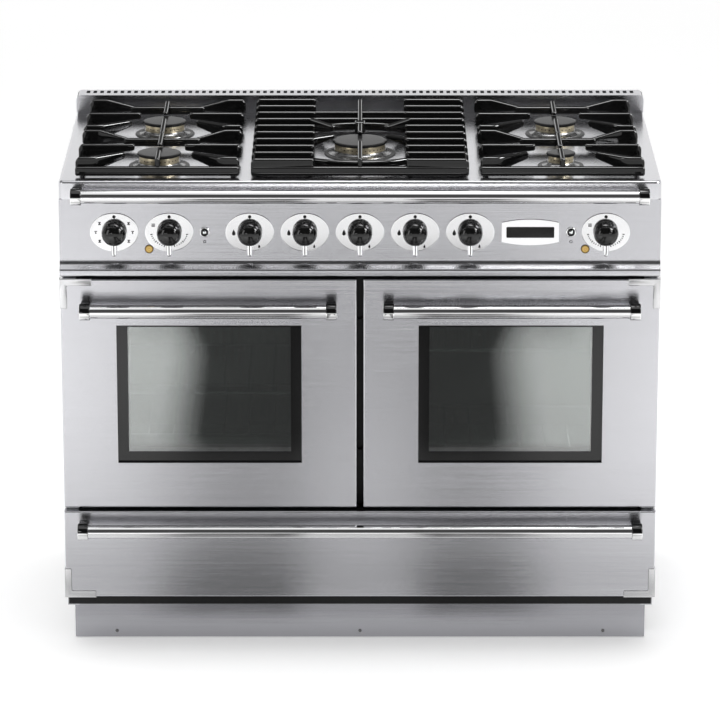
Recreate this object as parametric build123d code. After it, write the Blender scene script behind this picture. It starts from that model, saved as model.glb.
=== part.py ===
from build123d import *
import os
from math import acos, atan, cos, degrees, pi, radians, sin

# A free-standing dual fuel range cooker: gas hob, two side-hinged electric ovens, storage drawer.
# Millimetres, +Z up, +Y towards the wall. The origin is on the floor under the cooker's middle.

os.makedirs("parts", exist_ok=True)

# Overall sizes
WIDTH = 1092.0            # across the casing, doors and hob
HOB_HEIGHT = 905.0        # floor to hob surface
BODY_DEPTH = 600.0        # door faces to the back

# Sheet and fits
SHEET = 2.0               # casing sheet
SKIN = 1.5                # door and drawer sheet
EDGE_ROUND = 2.5          # folded edges of doors and drawer
RUN_FIT = 0.05            # radial room round a pin or spindle
SLIDE_GAP = 0.3           # room between faces that pass each other
BORE_ROOM = 3.0           # room where a shaft only passes through a sheet

# Front, from the hob downwards
LIP_HEIGHT = 34.0
PANEL_HEIGHT = 141.0
PANEL_GAP = 9.0           # control panel to doors
DOOR_DRAWER_GAP = 6.0
DRAWER_HEIGHT = 166.0
DRAWER_BOTTOM = 113.0
DOOR_SPLIT = 12.0         # between the two doors
DOOR_DEPTH = 42.0
DOOR_STANDOFF = 6.0       # door back to front frame
DRAWER_PROUD = 6.0        # drawer face ahead of the door faces
DRAWER_FRONT_DEPTH = 24.0

# Handles
BAR_RADIUS = 12.25
SLEEVE_RADIUS = 15.5
SLEEVE_LENGTH = 19.5
BAR_SIDES = 20            # flats round bars and sleeves
POST_HEIGHT = 18.0
BAR_OFFSET = 38.0         # bar axis ahead of the face it is fixed to
RAIL_INSET = 24.0         # hob rail end to cooker side
RAIL_DROP = 20.0          # hob surface to rail axis
DOOR_HANDLE_INSET = 36.5
DOOR_HANDLE_DROP = 51.0
DRAWER_HANDLE_INSET = 27.0
DRAWER_HANDLE_DROP = 27.0

# Chrome corner caps
CAP_SHEET = 1.5
CAP_WIDE = 57.0
CAP_HIGH = 55.0
CAP_ARM = 12.0
CAP_RETURN = 14.0
CAP_ROUND = 4.0

# Casing
SIDE_BOTTOM = 78.0
SIDE_FLANGE = 22.0
BASE_FLANGE = 24.0
FRAME_RISE = 20.0         # front frame above the control panel's lower edge
FRAME_RETURN = 25.0
FRAME_SILL = 8.0          # frame below the drawer opening
PLINTH_INSET = 11.0
PLINTH_SETBACK = 85.0
PLINTH_TOP_ROOM = 4.0     # plinth's top edge to the base above it
PLINTH_CLEAR = 2.0
PLINTH_RETURN = 40.0
FIXING_INSET = 78.0       # outer plinth fixings to the plinth's ends
FIXING_BRACKET = 30.0
BRACKET_SHEET = 3.0
FOOT_RADIUS = 20.0
FOOT_PAD = 10.0
FOOT_STEM_RADIUS = 7.0
HEX_SIDES = 6
FOOT_INSET = 70.0
VENT_COUNT = 10           # slots in the back panel
VENT_PITCH = 36.0
VENT_WIDTH = 8.0
VENT_LENGTH = 60.0
VENT_DROP = 40.0          # hob lip to the slots' tops
CABLE_RADIUS = 10.5       # supply cable inlet
CABLE_INSET = 90.0
CABLE_HEIGHT = 220.0

# Ovens
OVEN_SIDE_LAND = 50.0     # door edge to cavity side
OVEN_TOP_LAND = 41.0
OVEN_BOTTOM_LAND = 25.0
OVEN_DEPTH = 400.0
OVEN_FLANGE = 12.0
SEAL_WIDTH = 10.0
SEAL_OFFSET = 3.0
SHAFT = 8.0               # square fan shafts
FAN_RADIUS = 80.0
FAN_SIDES = 10
FAN_BLADE_LENGTH = 36.0
FAN_DEPTH = 20.0
FAN_SHEET = 2.0
FAN_HUB_RADIUS = 9.0
FAN_STANDOFF = 8.0
MOTOR_PLATE = 3.0
MOTOR_SIZE = 84.0
MOTOR_BODY = 60.0
MOTOR_LENGTH = 46.0
COVER_WIDTH = 270.0
COVER_HEIGHT = 250.0
COVER_DEPTH = 44.0
COVER_SLOTS = 7
COVER_SLOT_WIDTH = 7.0
COVER_SLOT_PITCH = 15.0
COVER_SLOT_LENGTH = 100.0
ELEMENT_THICK = 6.0
ELEMENT_RADIUS = 98.0
ELEMENT_SIDES = 12
GRILL_RUNS = 6
GRILL_PITCH = 52.0
GRILL_DROP = 24.0
GRILL_FRONT = 70.0
LADDER_BAR = 6.0
LADDER_RUNG = 5.0
LADDER_FRONT = 45.0       # oven mouth to the front uprights
LADDER_LENGTH = 260.0
RUNG_COUNT = 6
RUNG_FIRST = 51.0         # oven floor to the lowest rung
RUNG_PITCH = 41.0
SHELF_FRAME = 5.0
SHELF_WIRE = 3.0
SHELF_WIRES = 8
SHELF_FRONT = 18.0
SHELF_DEPTH = 330.0
SHELF_SIDE_ROOM = 1.0
LEFT_SHELF_RUNGS = (1, 3)
RIGHT_SHELF_RUNGS = (0, 5)

# Doors
WINDOW_SIDE = 101.0       # door edge to the window
WINDOW_BOTTOM = 86.0
WINDOW_TOP = 87.0
GLASS_RECESS = 8.0
GLASS_THICK = 4.0
GLASS_LAP = 14.0          # outer pane behind the skin, round the window
VIEW_BORDER = 20.0        # black border at the sides and bottom
VIEW_BORDER_TOP = 5.0
INNER_PANE_SET = 4.0      # inner pane ahead of the door's back
HINGE_INSET = 14.0        # hinge axis to the cooker side
HINGE_PIN_RADIUS = 4.0
HINGE_PIN_LENGTH = 16.0
HINGE_PLATE = 3.0
HINGE_HALF_WIDTH = 11.0
HINGE_NOSE = 11.0
HINGE_FLANGE = 22.0
HINGE_SHOULDER = 7.0       # half width of the pad under the door
CATCH_WIDTH = 9.0
CATCH_HEIGHT = 30.0
CATCH_DEPTH = 12.0
CATCH_INSET = 60.0        # catches to the oven opening's top and bottom

# Drawer
TRAY_INSET = 41.0         # cooker side to the tray
TRAY_RISE = 7.0
TRAY_HEIGHT = 110.0
TRAY_LENGTH = 480.0
RUNNER_HEIGHT = 60.0      # tray floor to the runner flange
RUNNER_FLANGE = 8.0
RUNNER_SHEET = 3.0
RUNNER_LENGTH = 430.0
RUNNER_WALL = 8.0

# Control panel
FLARE = 12.0              # lower lip ahead of the panel face
FLARE_RISE = 28.0         # height of the cove above the lip
LIP_FACE = 12.0           # height of the lip
PANEL_RETURN = 12.0
KNOB_DROP = 61.0          # panel top to the knob axes
OVEN_KNOB_INSET = 100.0   # outer knobs to the cooker sides
OVEN_KNOB_STEPS = 4.46    # outer knobs from the middle, in knob pitches
BEZEL_GAP = 12.0          # between neighbouring bezels
BEZEL_HIGH = 71.0
BEZEL_THICK = 2.5
BEZEL_SIDES = 20
KNOB_RADIUS = 22.5
KNOB_BASE_RADIUS = 19.0
KNOB_CROWN_RADIUS = 19.0
KNOB_TOP_RADIUS = 10.0
KNOB_SKIRT = 8.0          # height of the widest ring
KNOB_CROWN = 22.0         # height where the dome turns over
KNOB_HEIGHT = 30.0
ROUND_SIDES = 16          # flats of the small round pieces that repeat
KNOB_LIFT = 0.6           # knob above its bezel
SPINDLE = 7.0             # square spindles
LEVER_WIDE = 9.5
LEVER_THICK = 8.0
LEVER_REACH = 41.0
LEVER_LIFT = 15.0
TAP_HALF = 14.0           # half width of a gas tap
THERMOSTAT_HALF = 22.0
TAP_LENGTH = 46.0
TAP_HALF_HEIGHT = 16.0
BUTTON_RADIUS = 6.0
BUTTON_PROUD = 5.0
BUTTON_TRAVEL = 2.5
RING_RADIUS = 9.6
RING_THICK = 2.2
BUTTON_LENGTH = 9.0
LEFT_BUTTON_STEP = 0.64   # left button beyond the second oven knob, in knob pitches
RIGHT_BUTTON_STEP = 0.63  # right button inside the right knob, in knob pitches
LAMP_RADIUS = 8.0
LAMP_THICK = 3.5
LAMP_STEM = 10.0
LAMP_DROP = 31.5          # below the knob axes
LAMP_STEP = 37.0          # beside its knob
BADGE_WIDE = 104.0
BADGE_SIDE_HIGH = 36.0
BADGE_BULGE = 6.0
BADGE_THICK = 2.5
BADGE_PANEL_WIDE = 88.0
BADGE_PANEL_HIGH = 21.0
BADGE_RECESS = 0.8
BADGE_STEP = 1.37         # inside the right knob, in knob pitches

# Hob
HOB_CORNER = 10.0
UPSTAND_DEPTH = 48.0
UPSTAND_HEIGHT = 34.0
UPSTAND_CORNER = 9.0
SLOT_PITCH = 13.1
SLOT_WIDTH = 7.0
SLOT_LENGTH = 20.0
SLOT_BACK = 9.0           # slots to the upstand's back edge
SLOT_END = 21.0           # end slots to the cooker sides
SUPPORT_MARGIN = 29.0     # pan supports to the cooker sides
SUPPORT_GAP = 21.0
SUPPORT_CENTRE_WIDE = 396.0
SUPPORT_FRONT = 25.0      # hob front edge to the supports
SUPPORT_REAR = 34.0       # supports to the upstand
SUPPORT_HEIGHT = 35.0
SUPPORT_BAR = 11.0        # cross bars
SUPPORT_WEB = 9.0         # fingers and ribs
BAR_LOW = 3.0             # front bar above the hob
BAR_TOP = 20.0
FRAME_LOW = 8.0           # rails, fingers and ribs above the hob
FRAME_TOP = 23.0
RAIL_TOP = 16.0
TIP_LOW = 23.0            # underside of a finger's tip
OVER_CAP_LOW = 28.0       # underside where a finger runs over a burner cap
ROOT_CHAMFER = 6.0
ROOT_FLAT = 33.0          # straight outer stretch of a bent finger
FINGER_TIP_X = 62.0
FINGER_TIP_BACK = 34.0    # bent finger's tip in front of the burner axis
FINGER_ROOT_BACK = 75.0
STRAIGHT_TIP_X = 46.0
STRAIGHT_OFFSET = 26.0    # straight finger behind the burner axis
MID_BAR_Y = 240.0         # hob front edge to the middle bar
WEDGE_SWEEP = 18.0        # wedge roots behind their cross bar
REAR_SWEEP = 10.0
OVER_CAP_FRONT = 22.0     # front finger beyond the cap's edge
OVER_CAP_REAR = 8.0
OVER_WOK_FRONT = 9.0
OVER_WOK_REAR = 18.0
CAP_ROOM = 3.0            # level stretch begins this far outside the cap
PEG = 11.0                # square feet under the supports
RIB_COUNT = 10
RIB_INNER = 84.0
RING_ARC_RADIUS = 155.0
RING_SIDES = 32
DIAGONAL_TIP_X = 48.0
DIAGONAL_TIP_REAR = 78.0  # rear diagonal's tip behind the wok burner axis
DIAGONAL_TIP_FRONT = 8.0
LUG_WIDE = 20.0
LUG_FRONT = 104.0         # lug ahead of the rear, behind the wok burner axis
FRONT_BURNER_Y = 118.0    # hob front edge to burner axes
REAR_BURNER_Y = 373.0
WOK_BURNER_Y = 215.0
LARGE_CAP = 40.0          # cap radii
SMALL_CAP = 26.5
WOK_CAP = 50.0
CUP_LIP = 16.0            # base dish beyond the cap
CUP_HEIGHT = 2.5
HEAD_HEIGHT = 18.5
HEAD_INSET = 4.0
BURNER_SIDES = 24         # flats round the burners' dishes, heads and caps
CAP_THICK = 5.0
NECK = 34.0               # square gas necks below the hob
NECK_LENGTH = 30.0
IGNITER = 5.0
IGNITER_HEIGHT = 20.0
IGNITER_STEP = 7.0        # outside the cap
IGNITER_ANGLE = 60.0
PIPE_RADIUS = 4.5
PIPE_SIDES = 6
PIPE_BEND = 20.0
PIPE_LEAD = 26.0
MANIFOLD = 22.0
MANIFOLD_END = 34.0
INLET_PIPE_RADIUS = 8.0
INLET_RADIUS = 9.32       # G 1/2 inside thread, minor radius
INLET_LENGTH = 16.0
INLET_BOSS_RADIUS = 15.0
INLET_BOSS_LENGTH = 34.0

# Places worked out from the sizes above
half = WIDTH / 2
y_back = (BODY_DEPTH + DRAWER_PROUD + BAR_OFFSET + SLEEVE_RADIUS) / 2
y_face = y_back - BODY_DEPTH
door_back = y_face + DOOR_DEPTH
y_frame = door_back + DOOR_STANDOFF
y_drawer = y_face - DRAWER_PROUD
drawer_back = y_drawer + DRAWER_FRONT_DEPTH
lip_bottom = HOB_HEIGHT - LIP_HEIGHT
panel_bottom = lip_bottom - PANEL_HEIGHT
door_top = panel_bottom - PANEL_GAP
drawer_top = DRAWER_BOTTOM + DRAWER_HEIGHT
door_bottom = drawer_top + DOOR_DRAWER_GAP
door_width = half - DOOR_SPLIT / 2
door_centre = half - door_width / 2
inside = half - SHEET
base_z = SIDE_BOTTOM + SHEET
base_top = base_z + BASE_FLANGE
oven_width = door_width - 2 * OVEN_SIDE_LAND
oven_bottom = door_bottom + OVEN_BOTTOM_LAND
oven_top = door_top - OVEN_TOP_LAND
oven_front = y_frame + SHEET
oven_back = oven_front + OVEN_DEPTH
fan_z = (oven_bottom + oven_top) / 2
tray_half = half - TRAY_INSET
knob_z = lip_bottom - KNOB_DROP
knob_seat = y_face - BEZEL_THICK - KNOB_LIFT
outer_knob_x = half - OVEN_KNOB_INSET
knob_pitch = outer_knob_x / OVEN_KNOB_STEPS
bezel_wide = knob_pitch - BEZEL_GAP
tap_xs = [knob_pitch * step for step in (-2, -1, 0, 1, 2)]
thermostat_xs = [-outer_knob_x, knob_pitch - outer_knob_x, outer_knob_x]
button_xs = {
    "ignition": thermostat_xs[1] + LEFT_BUTTON_STEP * knob_pitch,
    "light": outer_knob_x - RIGHT_BUTTON_STEP * knob_pitch,
}
inlet_z = knob_z - TAP_HALF_HEIGHT - MANIFOLD / 2
inlet_x = tap_xs[-1] + MANIFOLD_END + PIPE_BEND + INLET_PIPE_RADIUS
side_support_wide = (WIDTH - SUPPORT_CENTRE_WIDE) / 2 - SUPPORT_MARGIN - SUPPORT_GAP
side_support_x = half - SUPPORT_MARGIN - side_support_wide / 2
support_back = BODY_DEPTH - UPSTAND_DEPTH - SUPPORT_REAR
burners = [
    (-side_support_x, y_face + FRONT_BURNER_Y, LARGE_CAP),
    (-side_support_x, y_face + REAR_BURNER_Y, LARGE_CAP),
    (0.0, y_face + WOK_BURNER_Y, WOK_CAP),
    (side_support_x, y_face + REAR_BURNER_Y, LARGE_CAP),
    (side_support_x, y_face + FRONT_BURNER_Y, SMALL_CAP),
]


def save(name, *pieces):
    """Write one named piece, or one group of like pieces, to its own file."""
    solids = [solid for piece in pieces for solid in piece.solids()]
    export_step(Compound(solids), f"parts/{name}.step")


def span(side, near, far):
    """A range along X that lies left or right of the middle."""
    return tuple(sorted((side * near, side * far)))


def block(x, y, z):
    """A box between two values on each axis."""
    size = [high - low for low, high in (x, y, z)]
    return Pos(sum(x) / 2, sum(y) / 2, sum(z) / 2) * Box(*size)


def tray(x, y, z, wall, axis, side, outer=None):
    """A box of sheet with one side open: axis 0, 1 or 2, side 0 for the low end, 1 for the high."""
    inner = [[low + wall, high - wall] for low, high in (x, y, z)]
    inner[axis][side] += 2 * wall if side else -2 * wall
    return (outer or block(x, y, z)) - block(*inner)


def rod(start, end, radius, sides=0):
    """A bar between two points, round or with a number of sides."""
    run = Vector(*end) - Vector(*start)
    section = RegularPolygon(radius, sides) if sides else Circle(radius)
    return extrude(Plane(origin=start, z_dir=run) * section, run.length)


def facing(x, y, z):
    """A plane that looks out of the cooker's front, with its X to the right and its Y up."""
    return Plane(origin=(x, y, z), x_dir=(1, 0, 0), z_dir=(0, -1, 0))


# Casing


def make_side_panel(side):
    sheet = block(span(side, inside, half), (y_frame, y_back), (SIDE_BOTTOM, lip_bottom))
    return sheet + block(span(side, half - SIDE_FLANGE, half), (y_frame, y_back), (SIDE_BOTTOM, base_z))


def make_back_panel():
    sheet = block((-inside, inside), (y_back - SHEET, y_back), (base_z, lip_bottom))
    top = lip_bottom - VENT_DROP
    for step in range(VENT_COUNT):
        x = (step - (VENT_COUNT - 1) / 2) * VENT_PITCH
        slot = (x - VENT_WIDTH / 2, x + VENT_WIDTH / 2)
        sheet -= block(slot, (y_back - 2 * SHEET, y_back + SHEET), (top - VENT_LENGTH, top))
    through = (y_back - 2 * SHEET, y_back + SHEET)
    gap = INLET_BOSS_RADIUS + BORE_ROOM
    sheet -= block((inlet_x - gap, inlet_x + gap), through, (inlet_z - gap, inlet_z + gap))
    cable_x = CABLE_INSET - half
    cable_way = [(cable_x, y, CABLE_HEIGHT) for y in through]
    return sheet - rod(*cable_way, CABLE_RADIUS, HEX_SIDES)


def fixing_xs():
    return (FIXING_INSET + PLINTH_INSET - half, 0.0, half - FIXING_INSET - PLINTH_INSET)


def make_base_frame():
    frame = tray((-inside, inside), (y_frame, y_back - SHEET), (base_z, base_top), SHEET, 2, 1)
    plinth_back = y_face + PLINTH_SETBACK + SHEET
    for x in fixing_xs():
        width = (x - FIXING_BRACKET / 2, x + FIXING_BRACKET / 2)
        frame += block(width, (plinth_back, plinth_back + BRACKET_SHEET), (2 * PLINTH_CLEAR, base_z))
    return frame


def make_plinth():
    front = y_face + PLINTH_SETBACK
    end = half - PLINTH_INSET
    height = (PLINTH_CLEAR, base_z - PLINTH_TOP_ROOM)
    plinth = block((-end, end), (front, front + SHEET), height)
    for side in (-1, 1):
        plinth += block(span(side, end - SHEET, end), (front, front + PLINTH_RETURN), height)
    return plinth


def make_foot(x, y):
    """A six-sided levelling foot on a six-sided stem."""
    foot = extrude(RegularPolygon(FOOT_RADIUS, HEX_SIDES), FOOT_PAD)
    return Pos(x, y, 0) * (foot + extrude(RegularPolygon(FOOT_STEM_RADIUS, HEX_SIDES), base_z))


def make_feet():
    rows = (y_face + PLINTH_SETBACK + FOOT_INSET, y_back - FOOT_INSET)
    return [make_foot(side * (half - FOOT_INSET), y) for side in (-1, 1) for y in rows]


def make_front_frame():
    frame_top = panel_bottom + FRAME_RISE
    depth = (y_frame, oven_front)
    through = (y_frame - SHEET, oven_front + SHEET)
    frame = block((-inside, inside), depth, (base_top, frame_top))
    for side in (-1, 1):
        mouth = span(side, door_centre - oven_width / 2, door_centre + oven_width / 2)
        frame -= block(mouth, through, (oven_bottom, oven_top))
        edge = span(side, inside - SHEET, inside)
        frame += block(edge, (y_frame, y_frame + FRAME_RETURN), (base_top, frame_top))
    opening = tray_half + RUNNER_FLANGE + BORE_ROOM
    return frame - block((-opening, opening), through, (base_top + FRAME_SILL, drawer_top - BORE_ROOM))


# Ovens


def make_oven_liner(side):
    x = span(side, door_centre - oven_width / 2, door_centre + oven_width / 2)
    z = (oven_bottom, oven_top)
    walls = [(x[0] - SHEET, x[1] + SHEET), (oven_front, oven_back + SHEET), (z[0] - SHEET, z[1] + SHEET)]
    liner = tray(*walls, SHEET, 1, 0)
    lap = SHEET + OVEN_FLANGE
    flange = block((x[0] - lap, x[1] + lap), (oven_front, oven_front + SHEET), (z[0] - lap, z[1] + lap))
    liner += flange - block(x, (oven_front - SHEET, oven_front + 2 * SHEET), z)
    hole = facing(side * door_centre, oven_back, fan_z) * Rectangle(2 * SHAFT, 2 * SHAFT)
    return liner - extrude(hole, 2 * SHEET, both=True)


def make_oven_seal(side):
    plane = facing(side * door_centre, y_frame, fan_z)
    inner = (oven_width + 2 * SEAL_OFFSET, oven_top - oven_bottom + 2 * SEAL_OFFSET)
    outer = [size + 2 * SEAL_WIDTH for size in inner]
    return extrude(plane * (Rectangle(*outer) - Rectangle(*inner)), DOOR_STANDOFF - SLIDE_GAP)


def make_fan(side):
    """A folded sheet impeller on its shaft: a many-sided disc with one blade at each corner."""
    disc = RegularPolygon(FAN_RADIUS, FAN_SIDES)
    fan = extrude(disc, FAN_SHEET)
    for step in range(FAN_SIDES):
        reach = (FAN_RADIUS - FAN_BLADE_LENGTH, FAN_RADIUS - FAN_SHEET)
        blade = block(reach, (-FAN_SHEET / 2, FAN_SHEET / 2), (0, FAN_DEPTH))
        fan += Rot(0, 0, step * 360 / FAN_SIDES) * blade
    fan += extrude(RegularPolygon(FAN_HUB_RADIUS, FAN_SIDES), FAN_DEPTH)
    fan += extrude(Rectangle(SHAFT, SHAFT), -(FAN_STANDOFF + SHEET))
    return facing(side * door_centre, oven_back - FAN_STANDOFF, fan_z).location * fan


def make_fan_motor(side):
    x = side * door_centre
    seat = oven_back + SHEET
    edge = MOTOR_SIZE / 2
    motor = block((x - edge, x + edge), (seat, seat + MOTOR_PLATE), (fan_z - edge, fan_z + edge))
    edge = MOTOR_BODY / 2
    depth = (seat, seat + MOTOR_PLATE + MOTOR_LENGTH)
    return motor + block((x - edge, x + edge), depth, (fan_z - edge, fan_z + edge))


def make_fan_cover(side):
    """A pressed baffle with intake slots, standing on two side flanges."""
    x = side * door_centre
    wide = (x - COVER_WIDTH / 2, x + COVER_WIDTH / 2)
    high = (fan_z - COVER_HEIGHT / 2, fan_z + COVER_HEIGHT / 2)
    front = oven_back - COVER_DEPTH
    cover = block(wide, (front, front + SKIN), high)
    cover += block((wide[0], wide[0] + SKIN), (front, oven_back), high)
    cover += block((wide[1] - SKIN, wide[1]), (front, oven_back), high)
    for step in range(COVER_SLOTS):
        middle = x + (step - (COVER_SLOTS - 1) / 2) * COVER_SLOT_PITCH
        slot = (middle - COVER_SLOT_WIDTH / 2, middle + COVER_SLOT_WIDTH / 2)
        reach = COVER_SLOT_LENGTH / 2
        cover -= block(slot, (front - SKIN, front + 2 * SKIN), (fan_z - reach, fan_z + reach))
    return cover


def make_ring_element(side):
    """The fan's ring element, on two legs from the oven's back wall."""
    x = side * door_centre
    ring = RegularPolygon(ELEMENT_RADIUS, ELEMENT_SIDES)
    ring -= RegularPolygon(ELEMENT_RADIUS - ELEMENT_THICK, ELEMENT_SIDES)
    front = oven_back - FAN_STANDOFF - FAN_DEPTH / 2
    element = extrude(facing(x, front, fan_z) * ring, ELEMENT_THICK)
    middle = ELEMENT_RADIUS - ELEMENT_THICK / 2
    for reach in (-1, 1):
        leg = (x + reach * middle - ELEMENT_THICK / 2, x + reach * middle + ELEMENT_THICK / 2)
        element += block(leg, (front, oven_back), (fan_z - ELEMENT_THICK / 2, fan_z + ELEMENT_THICK / 2))
    return element


def make_grill_element(side):
    """A serpentine under the oven roof, held at the back wall by its first and last runs."""
    x = side * door_centre
    high = (oven_top - GRILL_DROP - ELEMENT_THICK, oven_top - GRILL_DROP)
    front = oven_front + GRILL_FRONT
    rear = oven_back - COVER_DEPTH
    edge = ELEMENT_THICK / 2
    runs = [x + (step - (GRILL_RUNS - 1) / 2) * GRILL_PITCH for step in range(GRILL_RUNS)]
    element = None
    for step, run in enumerate(runs):
        stop = oven_back if step in (0, GRILL_RUNS - 1) else rear
        bar = block((run - edge, run + edge), (front, stop), high)
        element = bar if element is None else element + bar
    for step in range(GRILL_RUNS - 1):
        turn = (front, front + ELEMENT_THICK) if step % 2 == 0 else (rear - ELEMENT_THICK, rear)
        element += block((runs[step] - edge, runs[step + 1] + edge), turn, high)
    return element


def rung_top(step):
    return oven_bottom + RUNG_FIRST + step * RUNG_PITCH


def make_shelf_ladder(side, wall):
    """One side rack: two uprights on the oven wall with rungs across them."""
    wall_x = side * door_centre + wall * oven_width / 2
    bar = sorted((wall_x, wall_x - wall * LADDER_BAR))
    rung = sorted((wall_x - wall * LADDER_BAR, wall_x - wall * (LADDER_BAR + LADDER_RUNG)))
    first = oven_front + LADDER_FRONT
    last = first + LADDER_LENGTH
    low = rung_top(0) - 2 * LADDER_BAR
    high = rung_top(RUNG_COUNT - 1) + 2 * LADDER_BAR
    rack = block(bar, (first, first + LADDER_BAR), (low, high))
    rack += block(bar, (last - LADDER_BAR, last), (low, high))
    for step in range(RUNG_COUNT):
        top = rung_top(step)
        rack += block(rung, (first, last), (top - LADDER_RUNG, top))
    return rack


def make_shelf(side, rung):
    """A wire shelf: a square frame with wires from front to back, resting on a pair of rungs."""
    reach = oven_width / 2 - LADDER_BAR - SHELF_SIDE_ROOM
    x = (side * door_centre - reach, side * door_centre + reach)
    y = (oven_front + SHELF_FRONT, oven_front + SHELF_FRONT + SHELF_DEPTH)
    z = (rung_top(rung), rung_top(rung) + SHELF_FRAME)
    hole = [(low + SHELF_FRAME, high - SHELF_FRAME) for low, high in (x, y)]
    shelf = block(x, y, z) - block(*hole, (z[0] - SHELF_FRAME, z[1] + SHELF_FRAME))
    pitch = (hole[0][1] - hole[0][0]) / (SHELF_WIRES + 1)
    for step in range(1, SHELF_WIRES + 1):
        middle = hole[0][0] + step * pitch
        wire = (middle - SHELF_WIRE / 2, middle + SHELF_WIRE / 2)
        shelf += block(wire, hole[1], (z[1] - SHELF_WIRE, z[1]))
    return shelf


# Handles and corner caps


def make_handle(x, z, face):
    """A round bar between two end brackets, each a sleeve on a post from the face."""
    axis = face - BAR_OFFSET
    low, high = x
    bar = rod((low + SLEEVE_LENGTH, axis, z), (high - SLEEVE_LENGTH, axis, z), BAR_RADIUS, BAR_SIDES)
    brackets = []
    for start in (low, high - SLEEVE_LENGTH):
        stop = start + SLEEVE_LENGTH
        bracket = rod((start, axis, z), (stop, axis, z), SLEEVE_RADIUS, BAR_SIDES)
        bracket += block((start, stop), (axis, face), (z - POST_HEIGHT / 2, z + POST_HEIGHT / 2))
        brackets.append(bracket)
    return [bar, *brackets]


def make_corner_cap(side, upright, corner_z, face):
    """A chrome angle round an outer corner; upright is 1 at a top corner, -1 at a bottom one."""
    outer = CAP_SHEET
    points = [(outer, outer), (-CAP_WIDE, outer), (-CAP_WIDE, -CAP_ARM), (-CAP_ARM, -CAP_ARM),
              (-CAP_ARM, -CAP_HIGH), (outer, -CAP_HIGH)]
    plate = make_face(Polyline(*points, close=True).edges())
    inner = [corner for corner in plate.vertices() if corner.X == corner.Y == -CAP_ARM]
    plate = fillet(inner, CAP_ROUND)
    cap = extrude(plate, CAP_SHEET)
    cap += block((0, outer), (-CAP_HIGH, outer), (-CAP_RETURN, CAP_SHEET))
    cap += block((-CAP_WIDE, outer), (0, outer), (-CAP_RETURN, CAP_SHEET))
    if side < 0:
        cap = mirror(cap, Plane.YZ)
    if upright < 0:
        cap = mirror(cap, Plane.XZ)
    return facing(side * half, face, corner_z).location * cap


# Doors


def window(side, border, border_top):
    """Ranges across and up of the door's window, less a border."""
    edge = WINDOW_SIDE + border
    x = span(side, DOOR_SPLIT / 2 + edge, half - edge)
    return x, (door_bottom + WINDOW_BOTTOM + border, door_top - WINDOW_TOP - border_top)


def hinge_axis(side):
    return side * (half - HINGE_INSET), y_face + DOOR_DEPTH / 2


def folded_front(x, y, z):
    """A folded sheet front with rounded edges, open at the back."""
    outer = block(x, y, z)
    outer = fillet(outer.faces().sort_by(Axis.Y)[0].edges(), EDGE_ROUND)
    return tray(x, y, z, SKIN, 1, 1, outer)


def make_door_skin(side):
    skin = folded_front(span(side, DOOR_SPLIT / 2, half), (y_face, door_back), (door_bottom, door_top))
    x, z = window(side, 0, 0)
    depth = (y_face + SKIN, y_face + GLASS_RECESS)
    rim = block((x[0] - SKIN, x[1] + SKIN), depth, (z[0] - SKIN, z[1] + SKIN))
    skin += rim
    skin -= block(x, (y_face - SKIN, y_face + 2 * GLASS_RECESS), z)
    axis_x, axis_y = hinge_axis(side)
    pin = HINGE_PIN_RADIUS + SKIN
    return skin - block((axis_x - pin, axis_x + pin), (axis_y - pin, axis_y + pin),
                        (door_bottom - SKIN, door_top + SKIN))


def make_door_glass(side):
    x, z = window(side, -GLASS_LAP, -GLASS_LAP)
    outer = block(x, (y_face + GLASS_RECESS, y_face + GLASS_RECESS + GLASS_THICK), z)
    back = door_back - INNER_PANE_SET
    view_x, view_z = window(side, VIEW_BORDER, VIEW_BORDER_TOP)
    return [outer, block(view_x, (back - GLASS_THICK, back), view_z)]


def make_door_liner(side):
    """A pressed inner pan, open to the front, with a window surround and a bored block at each hinge."""
    x = span(side, DOOR_SPLIT / 2 + SKIN, half - SKIN)
    y = (y_face + GLASS_RECESS + GLASS_THICK, door_back)
    z = (door_bottom + SKIN, door_top - SKIN)
    liner = tray(x, y, z, SKIN, 1, 0)
    view_x, view_z = window(side, VIEW_BORDER, VIEW_BORDER_TOP)
    liner += block((view_x[0] - SKIN, view_x[1] + SKIN), y, (view_z[0] - SKIN, view_z[1] + SKIN))
    liner -= block(view_x, (y[0] - SKIN, y[1] + SKIN), view_z)
    axis_x, axis_y = hinge_axis(side)
    bore = HINGE_PIN_RADIUS + RUN_FIT
    depth = HINGE_PIN_LENGTH + BORE_ROOM
    post = span(side, half - 2 * HINGE_INSET, half - SKIN)
    for end, inner in ((z[0], z[0] + depth), (z[1], z[1] - depth)):
        far = inner + (inner - end) / 4
        liner += block(post, y, sorted((end, far)))
        liner -= rod((axis_x, axis_y, end), (axis_x, axis_y, inner), bore)
    return liner


def make_hinge_bracket(side, upright):
    """A plate over or under the door's corner, its flange on the front frame, and the hinge pin."""
    x, y = hinge_axis(side)
    wide = (x - HINGE_HALF_WIDTH, x + HINGE_HALF_WIDTH)
    edge = door_top if upright > 0 else door_bottom
    gap = PANEL_GAP if upright > 0 else DOOR_DRAWER_GAP
    near = edge + upright * (gap - HINGE_PLATE) / 2
    far = near + upright * HINGE_PLATE
    plate = block(wide, (y - HINGE_NOSE, y_frame), sorted((near, far)))
    plate += block(wide, (y_frame - HINGE_PLATE, y_frame), sorted((near, near + upright * HINGE_FLANGE)))
    tip = edge - upright * (SKIN + HINGE_PIN_LENGTH)
    plate += rod((x, y, far), (x, y, tip), HINGE_PIN_RADIUS)
    if upright < 0:
        pad = HINGE_SHOULDER
        plate += block((x - pad, x + pad), (y - pad, y + pad), (far, edge - SLIDE_GAP))
    return plate


def make_door_catch(z):
    wide = (-CATCH_WIDTH / 2, CATCH_WIDTH / 2)
    return block(wide, (y_frame - CATCH_DEPTH, y_frame), (z - CATCH_HEIGHT / 2, z + CATCH_HEIGHT / 2))


# Drawer


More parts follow.
